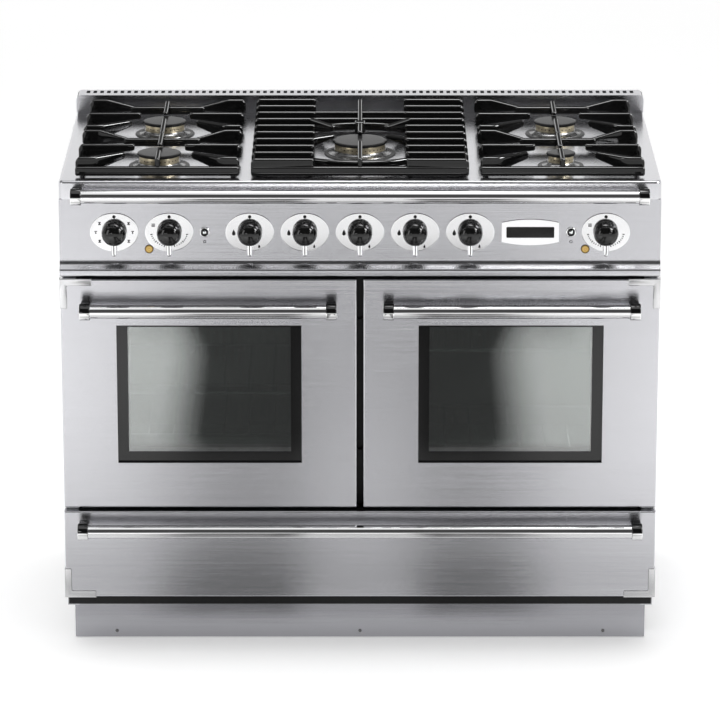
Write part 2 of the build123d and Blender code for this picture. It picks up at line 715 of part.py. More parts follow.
def make_drawer_front():
    return folded_front((-half, half), (y_drawer, drawer_back), (DRAWER_BOTTOM, drawer_top))


def runner_z():
    return DRAWER_BOTTOM + TRAY_RISE + RUNNER_HEIGHT


def make_drawer_tray():
    lap = half - SKIN
    plate = block((-lap, lap), (drawer_back - SKIN, drawer_back), (DRAWER_BOTTOM + SKIN, drawer_top - SKIN))
    depth = (drawer_back, drawer_back + TRAY_LENGTH)
    floor = DRAWER_BOTTOM + TRAY_RISE
    box = tray((-tray_half, tray_half), depth, (floor, floor + TRAY_HEIGHT), SKIN, 2, 1)
    for side in (-1, 1):
        flange = span(side, tray_half, tray_half + RUNNER_FLANGE)
        box += block(flange, depth, (runner_z(), runner_z() + RUNNER_SHEET))
    return plate + box


def make_drawer_runner(side):
    """A side runner on the casing with a groove for the tray's flange."""
    start = y_frame + FRAME_RETURN
    depth = (start, start + RUNNER_LENGTH)
    low = runner_z()
    high = low + RUNNER_SHEET
    near = tray_half + SLIDE_GAP
    runner = block(span(side, near, inside), depth, (low - RUNNER_WALL, high + RUNNER_WALL))
    groove = span(side, near - SLIDE_GAP, tray_half + RUNNER_FLANGE + SLIDE_GAP)
    length = (depth[0] - SLIDE_GAP, depth[1] + SLIDE_GAP)
    return runner - block(groove, length, (low - SLIDE_GAP, high + SLIDE_GAP))


# Control panel


def panel_outline(offset):
    """The panel's side outline, set back by a sheet thickness: face, cove, lip and lower return."""
    turn = 2 * atan(FLARE / FLARE_RISE)
    radius = FLARE_RISE / sin(turn)
    cove_top = panel_bottom + LIP_FACE + FLARE_RISE
    centre = (y_face - radius, cove_top)
    reach = radius + offset
    lip = y_face - FLARE + offset
    stop = acos((lip - centre[0]) / reach)
    arc = [(centre[0] + reach * cos(a), centre[1] - reach * sin(a)) for a in (0, stop / 2, stop)]
    face = y_face + offset
    low = panel_bottom + offset
    back = y_frame + offset
    lines = Line((0, face, lip_bottom + offset), (0, *arc[0]))
    lines += ThreePointArc(*[(0, *point) for point in arc])
    lines += Polyline((0, *arc[2]), (0, lip, low), (0, back, low), (0, back, lip_bottom + offset),
                      (0, face, lip_bottom + offset))
    return make_face(lines.edges())


def make_control_panel():
    """A folded sheet panel with closed ends, a cove and a forward lip, open at the back and top."""
    panel = extrude(panel_outline(0), half, both=True)
    panel -= extrude(panel_outline(SHEET), inside, both=True)
    behind = (y_face + PANEL_RETURN, y_frame + SHEET)
    panel -= block((-inside, inside), behind, (panel_bottom - SHEET, lip_bottom))
    for x in tap_xs + thermostat_xs:
        panel -= extrude(facing(x, y_face, knob_z) * spindle_hole(), FLARE, both=True)
    for x in button_xs.values():
        hole = 2 * (BUTTON_RADIUS + SLIDE_GAP)
        panel -= extrude(facing(x, y_face, knob_z) * Rectangle(hole, hole), FLARE, both=True)
    for x in lamp_xs():
        hole = Rectangle(LAMP_STEM, LAMP_STEM)
        panel -= extrude(facing(x, y_face, knob_z - LAMP_DROP) * hole, FLARE, both=True)
    return panel


def spindle_hole():
    return Rectangle(SPINDLE + 2 * BORE_ROOM, SPINDLE + 2 * BORE_ROOM)


def lamp_xs():
    return (thermostat_xs[1] - LAMP_STEP, thermostat_xs[2] - LAMP_STEP)


def make_bezel(x):
    oval = scale(RegularPolygon(0.5, BEZEL_SIDES), (bezel_wide, BEZEL_HIGH, 1)) - spindle_hole()
    return extrude(facing(x, y_face, knob_z) * oval, BEZEL_THICK)


def cone_band(low_radius, high_radius, low, high):
    """A many-sided band of a dome between two heights."""
    wide = max(low_radius, high_radius)
    lean = atan(abs(low_radius - high_radius) * cos(pi / ROUND_SIDES) / (high - low))
    band = extrude(RegularPolygon(wide, ROUND_SIDES), high - low, taper=degrees(lean))
    return Pos(0, 0, low) * band if wide == low_radius else Pos(0, 0, high) * Rot(180, 0, 0) * band


def make_knob(x):
    """A domed knob with its spindle, and the chrome lever that stands out below it."""
    dome = cone_band(KNOB_BASE_RADIUS, KNOB_RADIUS, 0, KNOB_SKIRT)
    dome += cone_band(KNOB_RADIUS, KNOB_CROWN_RADIUS, KNOB_SKIRT, KNOB_CROWN)
    dome += cone_band(KNOB_CROWN_RADIUS, KNOB_TOP_RADIUS, KNOB_CROWN, KNOB_HEIGHT)
    dome += extrude(Rectangle(SPINDLE, SPINDLE), -(BEZEL_THICK + KNOB_LIFT + SHEET))
    middle = LEVER_LIFT
    lever = block((-LEVER_WIDE / 2, LEVER_WIDE / 2), (-LEVER_REACH, 0),
                  (middle - LEVER_THICK / 2, middle + LEVER_THICK / 2))
    lever = chamfer(lever.edges().filter_by(Axis.Z).sort_by(Axis.Y)[:2], LEVER_WIDE / 4) - dome
    place = facing(x, knob_seat, knob_z).location
    return [place * dome, place * lever]


def make_tap(x, reach):
    """A gas tap or a thermostat against the panel's back, where its spindle seats."""
    front = y_face + SHEET
    return block((x - reach, x + reach), (front, front + TAP_LENGTH),
                 (knob_z - TAP_HALF_HEIGHT, knob_z + TAP_HALF_HEIGHT))


def make_button_ring(x):
    """A chrome ring on the panel that guides its button."""
    ring = RegularPolygon(RING_RADIUS, ROUND_SIDES) - RegularPolygon(BUTTON_RADIUS + RUN_FIT, ROUND_SIDES)
    return extrude(facing(x, y_face, knob_z) * ring, RING_THICK)


def make_button(x):
    front = facing(x, y_face - RING_THICK - BUTTON_TRAVEL, knob_z)
    return extrude(front * RegularPolygon(BUTTON_RADIUS, ROUND_SIDES), -(BUTTON_PROUD + BUTTON_LENGTH))


def make_lamp(x):
    plane = facing(x, y_face, knob_z - LAMP_DROP)
    lens = extrude(plane * RegularPolygon(LAMP_RADIUS, ROUND_SIDES), LAMP_THICK)
    return lens + extrude(plane * Rectangle(LAMP_STEM, LAMP_STEM), -4 * LAMP_THICK)


def make_badge_plate():
    """A bare plate with bowed top and bottom edges and a shallow recess."""
    edge = BADGE_WIDE / 2
    side = BADGE_SIDE_HIGH / 2
    crown = side + BADGE_BULGE
    outline = Line((-edge, -side), (-edge, side))
    outline += ThreePointArc((-edge, side), (0, crown), (edge, side))
    outline += Line((edge, side), (edge, -side))
    outline += ThreePointArc((edge, -side), (0, -crown), (-edge, -side))
    plane = facing(outer_knob_x - BADGE_STEP * knob_pitch, y_face, knob_z)
    plate = extrude(plane * make_face(outline.edges()), BADGE_THICK)
    recess = extrude(plane * Rectangle(BADGE_PANEL_WIDE, BADGE_PANEL_HIGH), BADGE_THICK)
    return plate - Pos(0, BADGE_RECESS - BADGE_THICK, 0) * recess


# Hob


def make_hob_top():
    """A pressed steel tray turned down at the edges, with an opening under each burner."""
    ranges = [(-half, half), (y_face, y_back), (lip_bottom, HOB_HEIGHT)]
    outer = block(*ranges)
    outer = fillet(outer.edges().filter_by(Axis.Z).sort_by(Axis.Y)[:2], HOB_CORNER)
    hob = tray(*ranges, SHEET, 2, 0, outer)
    for x, y, cap in burners:
        room = NECK / 2 + BORE_ROOM
        hob -= block((x - room, x + room), (y - room, y + room), (HOB_HEIGHT - 2 * SHEET, HOB_HEIGHT + SHEET))
    return hob


def make_upstand():
    """The rear vent trim: a folded cover with a row of slots along its top."""
    top = HOB_HEIGHT + UPSTAND_HEIGHT
    ranges = [(-half, half), (y_back - UPSTAND_DEPTH, y_back), (HOB_HEIGHT, top)]
    outer = block(*ranges)
    ends = outer.faces().sort_by(Axis.Z)[-1].edges().filter_by(Axis.Y)
    outer = fillet(ends, UPSTAND_CORNER)
    trim = tray(*ranges, SHEET, 2, 0, outer)
    count = int((WIDTH - 2 * SLOT_END) / SLOT_PITCH)
    back = y_back - SLOT_BACK
    with BuildPart() as slots:
        with GridLocations(SLOT_PITCH, SLOT_LENGTH, count + 1, 1):
            Box(SLOT_WIDTH, SLOT_LENGTH, 4 * SHEET)
    return trim - Pos(0, back - SLOT_LENGTH / 2, top) * slots.part


def make_cup(x, y, cap):
    """A burner's base dish with the neck that takes the gas through the hob."""
    cup = extrude(RegularPolygon(cap + CUP_LIP, BURNER_SIDES), CUP_HEIGHT)
    cup += extrude(Rectangle(NECK, NECK), -NECK_LENGTH)
    return Pos(x, y, HOB_HEIGHT) * cup


def make_head(x, y, cap):
    head = RegularPolygon(cap - HEAD_INSET, BURNER_SIDES)
    return Pos(x, y, HOB_HEIGHT + CUP_HEIGHT) * extrude(head, HEAD_HEIGHT)


def make_cap(x, y, cap):
    lid = RegularPolygon(cap, BURNER_SIDES)
    return Pos(x, y, HOB_HEIGHT + CUP_HEIGHT + HEAD_HEIGHT) * extrude(lid, CAP_THICK)


def make_igniter(x, y, cap):
    reach = cap + IGNITER_STEP
    at = (reach * cos(radians(IGNITER_ANGLE)), reach * sin(radians(IGNITER_ANGLE)))
    stick = extrude(Rectangle(IGNITER, IGNITER), IGNITER_HEIGHT)
    return Pos(x + at[0], y + at[1], HOB_HEIGHT + CUP_HEIGHT) * stick


# Pan supports, in plan from the support's middle and the hob's front edge


def blade(start, end, low_start, low_end, top_end=SUPPORT_HEIGHT, cut=0.0):
    """An upright web between two plan points, sloping below and on top, its start cut off at the top."""
    run = Vector(end[0] - start[0], end[1] - start[1], 0)
    points = [(run.length, top_end), (run.length, low_end), (0, low_start), (0, SUPPORT_HEIGHT - cut)]
    if cut:
        points.append((cut, SUPPORT_HEIGHT))
    side = Plane(origin=(start[0], start[1], 0), x_dir=run, z_dir=run.cross(Vector(0, 0, 1)))
    return extrude(side * make_face(Polyline(*points, close=True).edges()), SUPPORT_WEB / 2, both=True)


def knuckle(at, turn):
    """A post that fills the outside of a bend between two webs."""
    post = extrude(Rectangle(SUPPORT_WEB, SUPPORT_WEB), SUPPORT_HEIGHT - FRAME_LOW)
    return Pos(*at, FRAME_LOW) * Rot(0, 0, turn / 2) * post


def bent_finger(side, edge, root_y, tip, tip_top=SUPPORT_HEIGHT):
    """A finger that runs in from the side, then bends towards its burner and tapers."""
    bend = (side * (edge - ROOT_FLAT), root_y)
    finger = blade((side * edge, root_y), bend, FRAME_LOW, FRAME_LOW, cut=ROOT_CHAMFER)
    finger += blade(bend, tip, FRAME_LOW, min(TIP_LOW, tip_top - SUPPORT_WEB), tip_top)
    return finger + knuckle(bend, degrees(atan((tip[1] - bend[1]) / (tip[0] - bend[0]))))


def cap_finger(start, axis, cap, overlap, low):
    """A finger along Y that rises to clear a burner cap, then runs level over its edge."""
    way = 1 if axis > start else -1
    rise = (0, axis - way * (cap + CAP_ROOM))
    tip = (0, axis - way * (cap - overlap))
    return blade((0, start), rise, low, OVER_CAP_LOW) + blade(rise, tip, OVER_CAP_LOW, OVER_CAP_LOW)


def peg(x, y):
    """A foot that carries the support on the hob."""
    return Pos(x, y, 0) * extrude(Rectangle(PEG, PEG), RAIL_TOP)


def cross_bar(reach, y, low, top):
    return block((-reach, reach), (y - SUPPORT_BAR / 2, y + SUPPORT_BAR / 2), (low, top))


def make_side_support(side):
    """The cast grid over a front and a rear burner: bars, side rails, and fingers round each burner."""
    edge = side_support_wide / 2
    front = SUPPORT_FRONT + SUPPORT_BAR / 2
    rear = support_back - REAR_SWEEP - SUPPORT_BAR / 2
    grid = cross_bar(edge, front, BAR_LOW, BAR_TOP)
    for y in (MID_BAR_Y, rear):
        grid += cross_bar(FINGER_TIP_X + SUPPORT_WEB, y, FRAME_LOW, FRAME_TOP)
    for wing in (-1, 1):
        rail_x = wing * (edge - SUPPORT_BAR)
        width = (rail_x - SUPPORT_BAR / 2, rail_x + SUPPORT_BAR / 2)
        grid += block(width, (front, rear + REAR_SWEEP), (FRAME_LOW, RAIL_TOP))
        grid += bent_finger(wing, edge, MID_BAR_Y + WEDGE_SWEEP, (wing * FINGER_TIP_X, MID_BAR_Y), FRAME_TOP)
        grid += bent_finger(wing, edge, rear + REAR_SWEEP, (wing * FINGER_TIP_X, rear), FRAME_TOP)
        for axis in (FRONT_BURNER_Y, REAR_BURNER_Y):
            tip = (wing * FINGER_TIP_X, axis - FINGER_TIP_BACK)
            grid += bent_finger(wing, edge, axis - FINGER_ROOT_BACK, tip)
            straight = axis + STRAIGHT_OFFSET
            grid += blade((wing * edge, straight), (wing * STRAIGHT_TIP_X, straight), FRAME_LOW, TIP_LOW,
                          cut=ROOT_CHAMFER)
            grid += peg(rail_x, straight)
    front_cap = LARGE_CAP if side < 0 else SMALL_CAP
    grid += cap_finger(front, FRONT_BURNER_Y, front_cap, OVER_CAP_FRONT, BAR_LOW)
    grid += cap_finger(MID_BAR_Y, FRONT_BURNER_Y, front_cap, OVER_CAP_REAR, FRAME_LOW)
    grid += cap_finger(MID_BAR_Y, REAR_BURNER_Y, LARGE_CAP, OVER_CAP_FRONT, FRAME_LOW)
    grid += cap_finger(rear, REAR_BURNER_Y, LARGE_CAP, OVER_CAP_REAR, FRAME_LOW)
    return Pos(side * side_support_x, y_face, HOB_HEIGHT) * grid


def make_centre_support():
    """The cast grid over the wok burner: parallel ribs at both sides, ring arcs and six fingers."""
    edge = SUPPORT_CENTRE_WIDE / 2
    front = SUPPORT_FRONT + SUPPORT_BAR / 2
    pitch = (support_back - front) / (RIB_COUNT - 1)
    ribs = [front + step * pitch for step in range(RIB_COUNT)]
    grid = cross_bar(edge, front, BAR_LOW, BAR_TOP)
    for y in ribs[-3:-1]:
        grid += cross_bar(RIB_INNER, y, FRAME_LOW, FRAME_TOP)
    ring = RegularPolygon(RING_ARC_RADIUS + SUPPORT_WEB / 2, RING_SIDES)
    ring -= RegularPolygon(RING_ARC_RADIUS - SUPPORT_WEB / 2, RING_SIDES)
    ring &= Rectangle(2 * RIB_INNER + SUPPORT_WEB, 4 * RING_ARC_RADIUS)
    grid += Pos(0, WOK_BURNER_Y, FRAME_LOW) * extrude(ring, FRAME_TOP - FRAME_LOW)
    for wing in (-1, 1):
        for x in (wing * (edge - SUPPORT_BAR), wing * (RIB_INNER + SUPPORT_BAR / 2)):
            width = (x - SUPPORT_BAR / 2, x + SUPPORT_BAR / 2)
            grid += block(width, (front, ribs[-1]), (FRAME_LOW, RAIL_TOP))
        for y in ribs:
            grid += blade((wing * edge, y), (wing * RIB_INNER, y), FRAME_LOW, RAIL_TOP, cut=ROOT_CHAMFER)
        for y in (ribs[1], ribs[-2]):
            grid += peg(wing * (edge - SUPPORT_BAR), y)
        rear_tip = (wing * DIAGONAL_TIP_X, WOK_BURNER_Y + DIAGONAL_TIP_REAR)
        grid += blade((wing * (RIB_INNER + SUPPORT_WEB), ribs[6]), rear_tip, FRAME_LOW, TIP_LOW)
        front_tip = (wing * DIAGONAL_TIP_X, WOK_BURNER_Y + DIAGONAL_TIP_FRONT)
        grid += blade((wing * (RIB_INNER + SUPPORT_WEB), ribs[3]), front_tip, RAIL_TOP, OVER_CAP_LOW)
    grid += cap_finger(front, WOK_BURNER_Y, WOK_CAP, OVER_WOK_FRONT, BAR_LOW)
    lug = WOK_BURNER_Y + LUG_FRONT
    grid += blade((0, ribs[-1]), (0, lug), FRAME_LOW, FRAME_LOW)
    grid += block((-LUG_WIDE / 2, LUG_WIDE / 2), (lug, lug + LUG_WIDE), (FRAME_LOW, SUPPORT_HEIGHT))
    grid += cap_finger(lug, WOK_BURNER_Y, WOK_CAP, OVER_WOK_REAR, TIP_LOW)
    return Pos(0, y_face, HOB_HEIGHT) * grid


# Gas


def make_burner_pipe(tap_x, burner):
    """A pipe from a tap's back to the neck of its burner."""
    x, y, _ = burner
    start = y_face + SHEET + TAP_LENGTH
    neck = HOB_HEIGHT - NECK_LENGTH
    points = [(tap_x, start, knob_z), (tap_x, start + PIPE_LEAD, knob_z), (x, y, knob_z), (x, y, neck)]
    if tap_x == x:
        points.pop(1)
    section = Plane(origin=points[0], z_dir=(0, 1, 0)) * RegularPolygon(PIPE_RADIUS, PIPE_SIDES)
    return sweep(section, Polyline(*points), transition=Transition.RIGHT)


def make_gas_pipes():
    """The manifold under the taps, a pipe to each burner, and the inlet at the cooker's back."""
    middle = y_face + SHEET + TAP_LENGTH / 2
    end = tap_xs[-1] + MANIFOLD_END
    manifold = block((-end, end), (middle - MANIFOLD / 2, middle + MANIFOLD / 2),
                     (inlet_z - MANIFOLD / 2, inlet_z + MANIFOLD / 2))
    boss_front = y_back - INLET_BOSS_LENGTH
    path = Polyline((end, middle, inlet_z), (inlet_x, middle, inlet_z), (inlet_x, boss_front, inlet_z))
    start = Plane(origin=(end, middle, inlet_z), z_dir=(1, 0, 0))
    section = start * RegularPolygon(INLET_PIPE_RADIUS, PIPE_SIDES)
    inlet = sweep(section, path, transition=Transition.RIGHT)
    outside = facing(inlet_x, y_back, inlet_z)
    boss = extrude(outside * RegularPolygon(INLET_BOSS_RADIUS, HEX_SIDES), INLET_BOSS_LENGTH)
    boss -= rod((inlet_x, y_back - INLET_LENGTH, inlet_z), (inlet_x, y_back + SHEET, inlet_z), INLET_RADIUS)
    pipes = [make_burner_pipe(tap_x, burner) for tap_x, burner in zip(tap_xs, burners)]
    return [manifold, inlet, boss, *pipes]


sides = {"left": -1, "right": 1}

save("side_panels", *[make_side_panel(side) for side in sides.values()])
save("back_panel", make_back_panel())
save("base_frame", make_base_frame())
save("plinth", make_plinth())
save("levelling_feet", *make_feet())
save("front_frame", make_front_frame())
save("oven_seals", *[make_oven_seal(side) for side in sides.values()])
save("fan_covers", *[make_fan_cover(side) for side in sides.values()])
save("fan_motors", *[make_fan_motor(side) for side in sides.values()])
save("shelf_ladders", *[make_shelf_ladder(side, wall) for side in sides.values() for wall in (-1, 1)])
save("oven_shelves", *[make_shelf(-1, rung) for rung in LEFT_SHELF_RUNGS],
     *[make_shelf(1, rung) for rung in RIGHT_SHELF_RUNGS])
save("heating_elements", make_grill_element(-1), *[make_ring_element(side) for side in sides.values()])
save("hinge_brackets", *[make_hinge_bracket(side, upright) for side in sides.values() for upright in (-1, 1)])
save("door_catches", *[make_door_catch(z) for z in (oven_bottom + CATCH_INSET, oven_top - CATCH_INSET)])
save("drawer_runners", *[make_drawer_runner(side) for side in sides.values()])

for name, side in sides.items():
    save(f"oven_liner_{name}", make_oven_liner(side))
    save(f"oven_fan_{name}", make_fan(side))
    save(f"door_skin_{name}", make_door_skin(side))
    save(f"door_glass_{name}", *make_door_glass(side))
    save(f"door_liner_{name}", make_door_liner(side))
    reach = span(side, DOOR_SPLIT / 2 + DOOR_HANDLE_INSET, half - DOOR_HANDLE_INSET)
    save(f"door_handle_{name}", *make_handle(reach, door_top - DOOR_HANDLE_DROP, y_face))
    save(f"door_corner_cap_{name}", make_corner_cap(side, 1, door_top, y_face))
    save(f"pan_support_{name}", make_side_support(side))

drawer_reach = half - DRAWER_HANDLE_INSET
save("drawer_front", make_drawer_front())
save("drawer_tray", make_drawer_tray())
save("drawer_handle", *make_handle((-drawer_reach, drawer_reach), drawer_top - DRAWER_HANDLE_DROP, y_drawer))
save("drawer_corner_caps", *[make_corner_cap(side, -1, DRAWER_BOTTOM, y_drawer) for side in sides.values()])

save("control_panel", make_control_panel())
save("knob_bezels", *[make_bezel(x) for x in tap_xs + thermostat_xs])
save("control_valves", *[make_tap(x, TAP_HALF) for x in tap_xs],
     *[make_tap(x, THERMOSTAT_HALF) for x in thermostat_xs])
knob_names = ["front_left", "rear_left", "wok", "rear_right", "front_right"]
for name, x in zip(knob_names, tap_xs):
    save(f"knob_{name}", *make_knob(x))
for name, x in zip(["oven_mode", "left_oven", "right_oven"], thermostat_xs):
    save(f"knob_{name}", *make_knob(x))
save("button_rings", *[make_button_ring(x) for x in button_xs.values()])
for name, x in button_xs.items():
    save(f"{name}_button", make_button(x))
save("indicator_lamps", *[make_lamp(x) for x in lamp_xs()])
save("badge_plate", make_badge_plate())

rail_reach = half - RAIL_INSET
save("hob_rail", *make_handle((-rail_reach, rail_reach), HOB_HEIGHT - RAIL_DROP, y_face))
save("hob_top", make_hob_top())
save("rear_vent_trim", make_upstand())
save("burner_cups", *[make_cup(*burner) for burner in burners])
save("burner_heads", *[make_head(*burner) for burner in burners])
save("burner_caps", *[make_cap(*burner) for burner in burners])
save("igniters", *[make_igniter(*burner) for burner in burners])
save("pan_support_centre", make_centre_support())
save("gas_pipes", *make_gas_pipes())
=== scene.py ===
# %% [markdown]
# A dual fuel range cooker is mostly folded steel sheet, so most of its look is finish: brushed grain,
# polished bars and black enamel. Sheet parts keep their CAD shape and get a new finish. Round, cast
# and bent parts, which the CAD model keeps many-sided to stay light, are made again here as smooth
# surfaces.

# %% Load the frame
import bmesh
import bpy
import numpy as np
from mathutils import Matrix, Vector


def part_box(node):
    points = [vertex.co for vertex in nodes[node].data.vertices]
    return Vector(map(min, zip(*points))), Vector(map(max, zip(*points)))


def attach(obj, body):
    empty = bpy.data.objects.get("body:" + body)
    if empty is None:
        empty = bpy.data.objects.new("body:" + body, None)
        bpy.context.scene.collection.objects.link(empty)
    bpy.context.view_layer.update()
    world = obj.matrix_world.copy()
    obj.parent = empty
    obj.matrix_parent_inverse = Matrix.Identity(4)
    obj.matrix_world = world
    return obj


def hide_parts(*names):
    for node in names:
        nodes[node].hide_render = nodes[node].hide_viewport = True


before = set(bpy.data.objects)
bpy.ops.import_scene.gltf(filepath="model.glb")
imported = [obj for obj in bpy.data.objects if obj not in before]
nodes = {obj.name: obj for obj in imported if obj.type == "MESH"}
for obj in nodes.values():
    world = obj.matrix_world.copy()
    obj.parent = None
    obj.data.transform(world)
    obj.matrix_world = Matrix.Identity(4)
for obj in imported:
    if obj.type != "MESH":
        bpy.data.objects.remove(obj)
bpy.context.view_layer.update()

# %% [markdown]
# Every new piece is a grid of points worked out with numpy: columns run round it and rows along it.
# One function turns grids into a mesh object. A flat face closes each end, unless the last row
# repeats the first: such a grid is a ring.

# %% Grids to mesh objects
MM = 0.001
CREASE = 0.7


def box_mm(node):
    """A CAD node's lowest and highest corner, in millimetres."""
    return [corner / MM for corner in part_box(node)]


def middle_of(node):
    low, high = box_mm(node)
    return (low + high) / 2


def placed(name, data):
    """A new object in the scene."""
    made = bpy.data.objects.new(name, data)
    bpy.context.scene.collection.objects.link(made)
    return made


def grid_faces(rows, columns, ring):
    """Quads between neighbouring points; the last column joins the first, and so do a ring's rows."""
    row, column = np.meshgrid(np.arange(rows if ring else rows - 1), np.arange(columns), indexing="ij")
    beside, beyond = (column + 1) % columns, (row + 1) % rows
    quad = [row * columns + column, row * columns + beside,
            beyond * columns + beside, beyond * columns + column]
    return np.stack(quad, axis=-1).reshape(-1, 4)


def piece(name, grids, finish, body, replaced=()):
    """One mesh object from closed grids, each an array of rows by columns by three, in millimetres."""
    points, faces, start = [], [], 0
    for grid in grids:
        ring = np.allclose(grid[0], grid[-1])
        if ring:
            grid = grid[:-1]
        rows, columns, _ = grid.shape
        points.append(grid.reshape(-1, 3) * MM)
        faces += (grid_faces(rows, columns, ring) + start).tolist()
        if not ring:
            last = start + (rows - 1) * columns
            faces += [list(range(start + columns - 1, start - 1, -1)), list(range(last, last + columns))]
        start += rows * columns
    mesh = bpy.data.meshes.new(name)
    mesh.from_pydata(np.concatenate(points).tolist(), [], faces)
    shell = bmesh.new()
    shell.from_mesh(mesh)
    bmesh.ops.recalc_face_normals(shell, faces=shell.faces[:])
    shell.to_mesh(mesh)
    shell.free()
    sides = np.empty(len(mesh.polygons), dtype=np.int32)
    mesh.polygons.foreach_get("loop_total", sides)
    mesh.polygons.foreach_set("use_smooth", sides == 4)
    mesh.set_sharp_from_angle(angle=CREASE)
    mesh.materials.append(finish)
    made = placed(name, mesh)
    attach(made, body)
    if replaced:
        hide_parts(*replaced)
    print(name, len(mesh.vertices), "points")
    return made


# %% [markdown]
# Three kinds of grid make nearly everything. A turned piece is a profile of radius and height carried
# round an axis; its poles are flats too small to see. A cast bar is a rounded rectangle carried along
# a path. A plate is an outline with a thickness. Two more functions set a piece against the front or
# lay it along X.

# %% Turned pieces
POLE, QUARTER = 0.05, np.pi / 2


def arc(wide, high, start, stop, steps):
    """P(t) = (wide cos t, high sin t), with t from start to stop."""
    turn = np.linspace(start, stop, steps)
    return np.stack([wide * np.cos(turn), high * np.sin(turn)], axis=-1)


def turned(profile, columns=64):
    """P(i, a) = (r cos a, r sin a, h), with r and h from row i of the profile."""
    radius, height = np.asarray(profile, dtype=float).T
    angle = np.linspace(0, 2 * np.pi, columns, endpoint=False)
    flat = np.ones_like(angle)
    return np.stack([np.outer(radius, np.cos(angle)), np.outer(radius, np.sin(angle)),
                     np.outer(height, flat)], axis=-1)


def rounded_profile(radius, low, high, edge, foot=0.0, steps=6):
    """A disc's outline from its middle below to its middle on top, with both rims rounded."""
    under = foot if foot else edge / 4
    lower = arc(under, under, -QUARTER, 0, steps) + (radius - under, low + under)
    upper = arc(edge, edge, 0, QUARTER, steps) + (radius - edge, high - edge)
    return np.concatenate([[[POLE, low]], lower, upper, [[POLE, high]]])


print("turning ready")

# %% Cast bars
BLUR = 6.0


def rounded_section(half_wide, half_high, corner, steps=5):
    """Points round a rectangle with rounded corners, one row for each pair of half sizes."""
    turn = np.linspace(0, np.pi / 2, steps)
    angle = np.concatenate([turn + quarter * np.pi / 2 for quarter in range(4)])
    sign = np.repeat([[1, 1], [-1, 1], [-1, -1], [1, -1]], steps, axis=0)
    round_off = np.minimum(np.minimum(half_wide, half_high), corner)[:, None]
    wide = sign[:, 0] * (half_wide[:, None] - round_off) + round_off * np.cos(angle)
    high = sign[:, 1] * (half_high[:, None] - round_off) + round_off * np.sin(angle)
    return wide, high


def cast_bar(path, low, top, width=9.0, corner=3.4, root=0.0, samples=25):
    """A rounded rectangle carried along a plan path:
    P(s, a) = path(s) + side(s) w(a) + up (mid(s) + h(a)).
    Low and top are heights at the path's corners. Both ends are rounded, a bent path is blurred, and
    the root is the size of the slope cut off the top of the first end."""
    path = np.asarray(path, dtype=float)
    stretch = np.concatenate([[0], np.cumsum(np.linalg.norm(np.diff(path, axis=0), axis=1))])
    length = stretch[-1]
    ends = corner * np.array([0, 0.08, 0.3, 0.6, 1])
    way = np.unique(np.concatenate([ends, length - ends, np.linspace(corner, length - corner, samples),
                                    [min(root, length / 2)] if root else []]))
    to_end = np.minimum(way, length - way)
    blur = BLUR * np.array([-1.0, -0.5, 0.0, 0.5, 1.0]) if len(path) > 2 else np.zeros(1)
    near = np.clip(way[:, None] + blur * np.minimum(1, to_end / BLUR)[:, None], 0, length)
    middle = np.stack([np.interp(near, stretch, path[:, k]).mean(axis=1) for k in (0, 1)], axis=-1)
    ahead = np.gradient(middle, way, axis=0)
    ahead /= np.linalg.norm(ahead, axis=1, keepdims=True)
    gap = np.clip(corner - to_end, 0, corner)
    inset = corner - np.sqrt(corner ** 2 - gap ** 2)
    base = np.interp(way, stretch, low)
    crown = np.interp(way, stretch, top) - np.clip(root - way, 0, None)
    wide, high = rounded_section(width / 2 - inset, (crown - base) / 2 - inset, corner)
    level = ((crown + base) / 2)[:, None] + high
    return np.stack([middle[:, :1] - ahead[:, 1:] * wide, middle[:, 1:] + ahead[:, :1] * wide, level],
                    axis=-1)


print("casting ready")

# %% Plates and places


def slab(outline, low, high, edge=0.3, steps=4):
    """A plate whose top rim is rounded: the flat outline shrinks by the round-off as it rises."""
    outline = np.asarray(outline, dtype=float)
    following = np.roll(outline, -1, axis=0) - np.roll(outline, 1, axis=0)
    outward = np.stack([following[:, 1], -following[:, 0]], axis=-1)
    outward /= np.linalg.norm(outward, axis=1, keepdims=True)
    bend = np.linspace(0, np.pi / 2, steps)
    inset = np.concatenate([[0], edge * (1 - np.cos(bend))])
    level = np.concatenate([[low], high - edge + edge * np.sin(bend)])
    flat = outline[None] - outward[None] * inset[:, None, None]
    return np.concatenate([flat, np.broadcast_to(level[:, None, None], flat.shape[:2] + (1,))], axis=-1)


def on_front(grid, x, z, y):
    """Turn a piece that was made standing on the floor so that it looks out of the cooker's front."""
    return np.stack([x + grid[..., 0], y - grid[..., 2], z + grid[..., 1]], axis=-1)


def along_x(grid, y, z):
    """Lay a turned piece along X, about an axis at one depth and height."""
    return np.stack([grid[..., 2], y + grid[..., 0], z + grid[..., 1]], axis=-1)


def moved(grid, x=0.0, y=0.0, z=0.0):
    return grid + np.array([x, y, z])


print("plates ready")

# %% [markdown]
# A finish is a shader. Its maths reads better as a formula than as a web of nodes, so a small class
# wraps a socket and turns each operator into one Math node. The paint class makes every other node
# through one method.

# %% Shader formulas


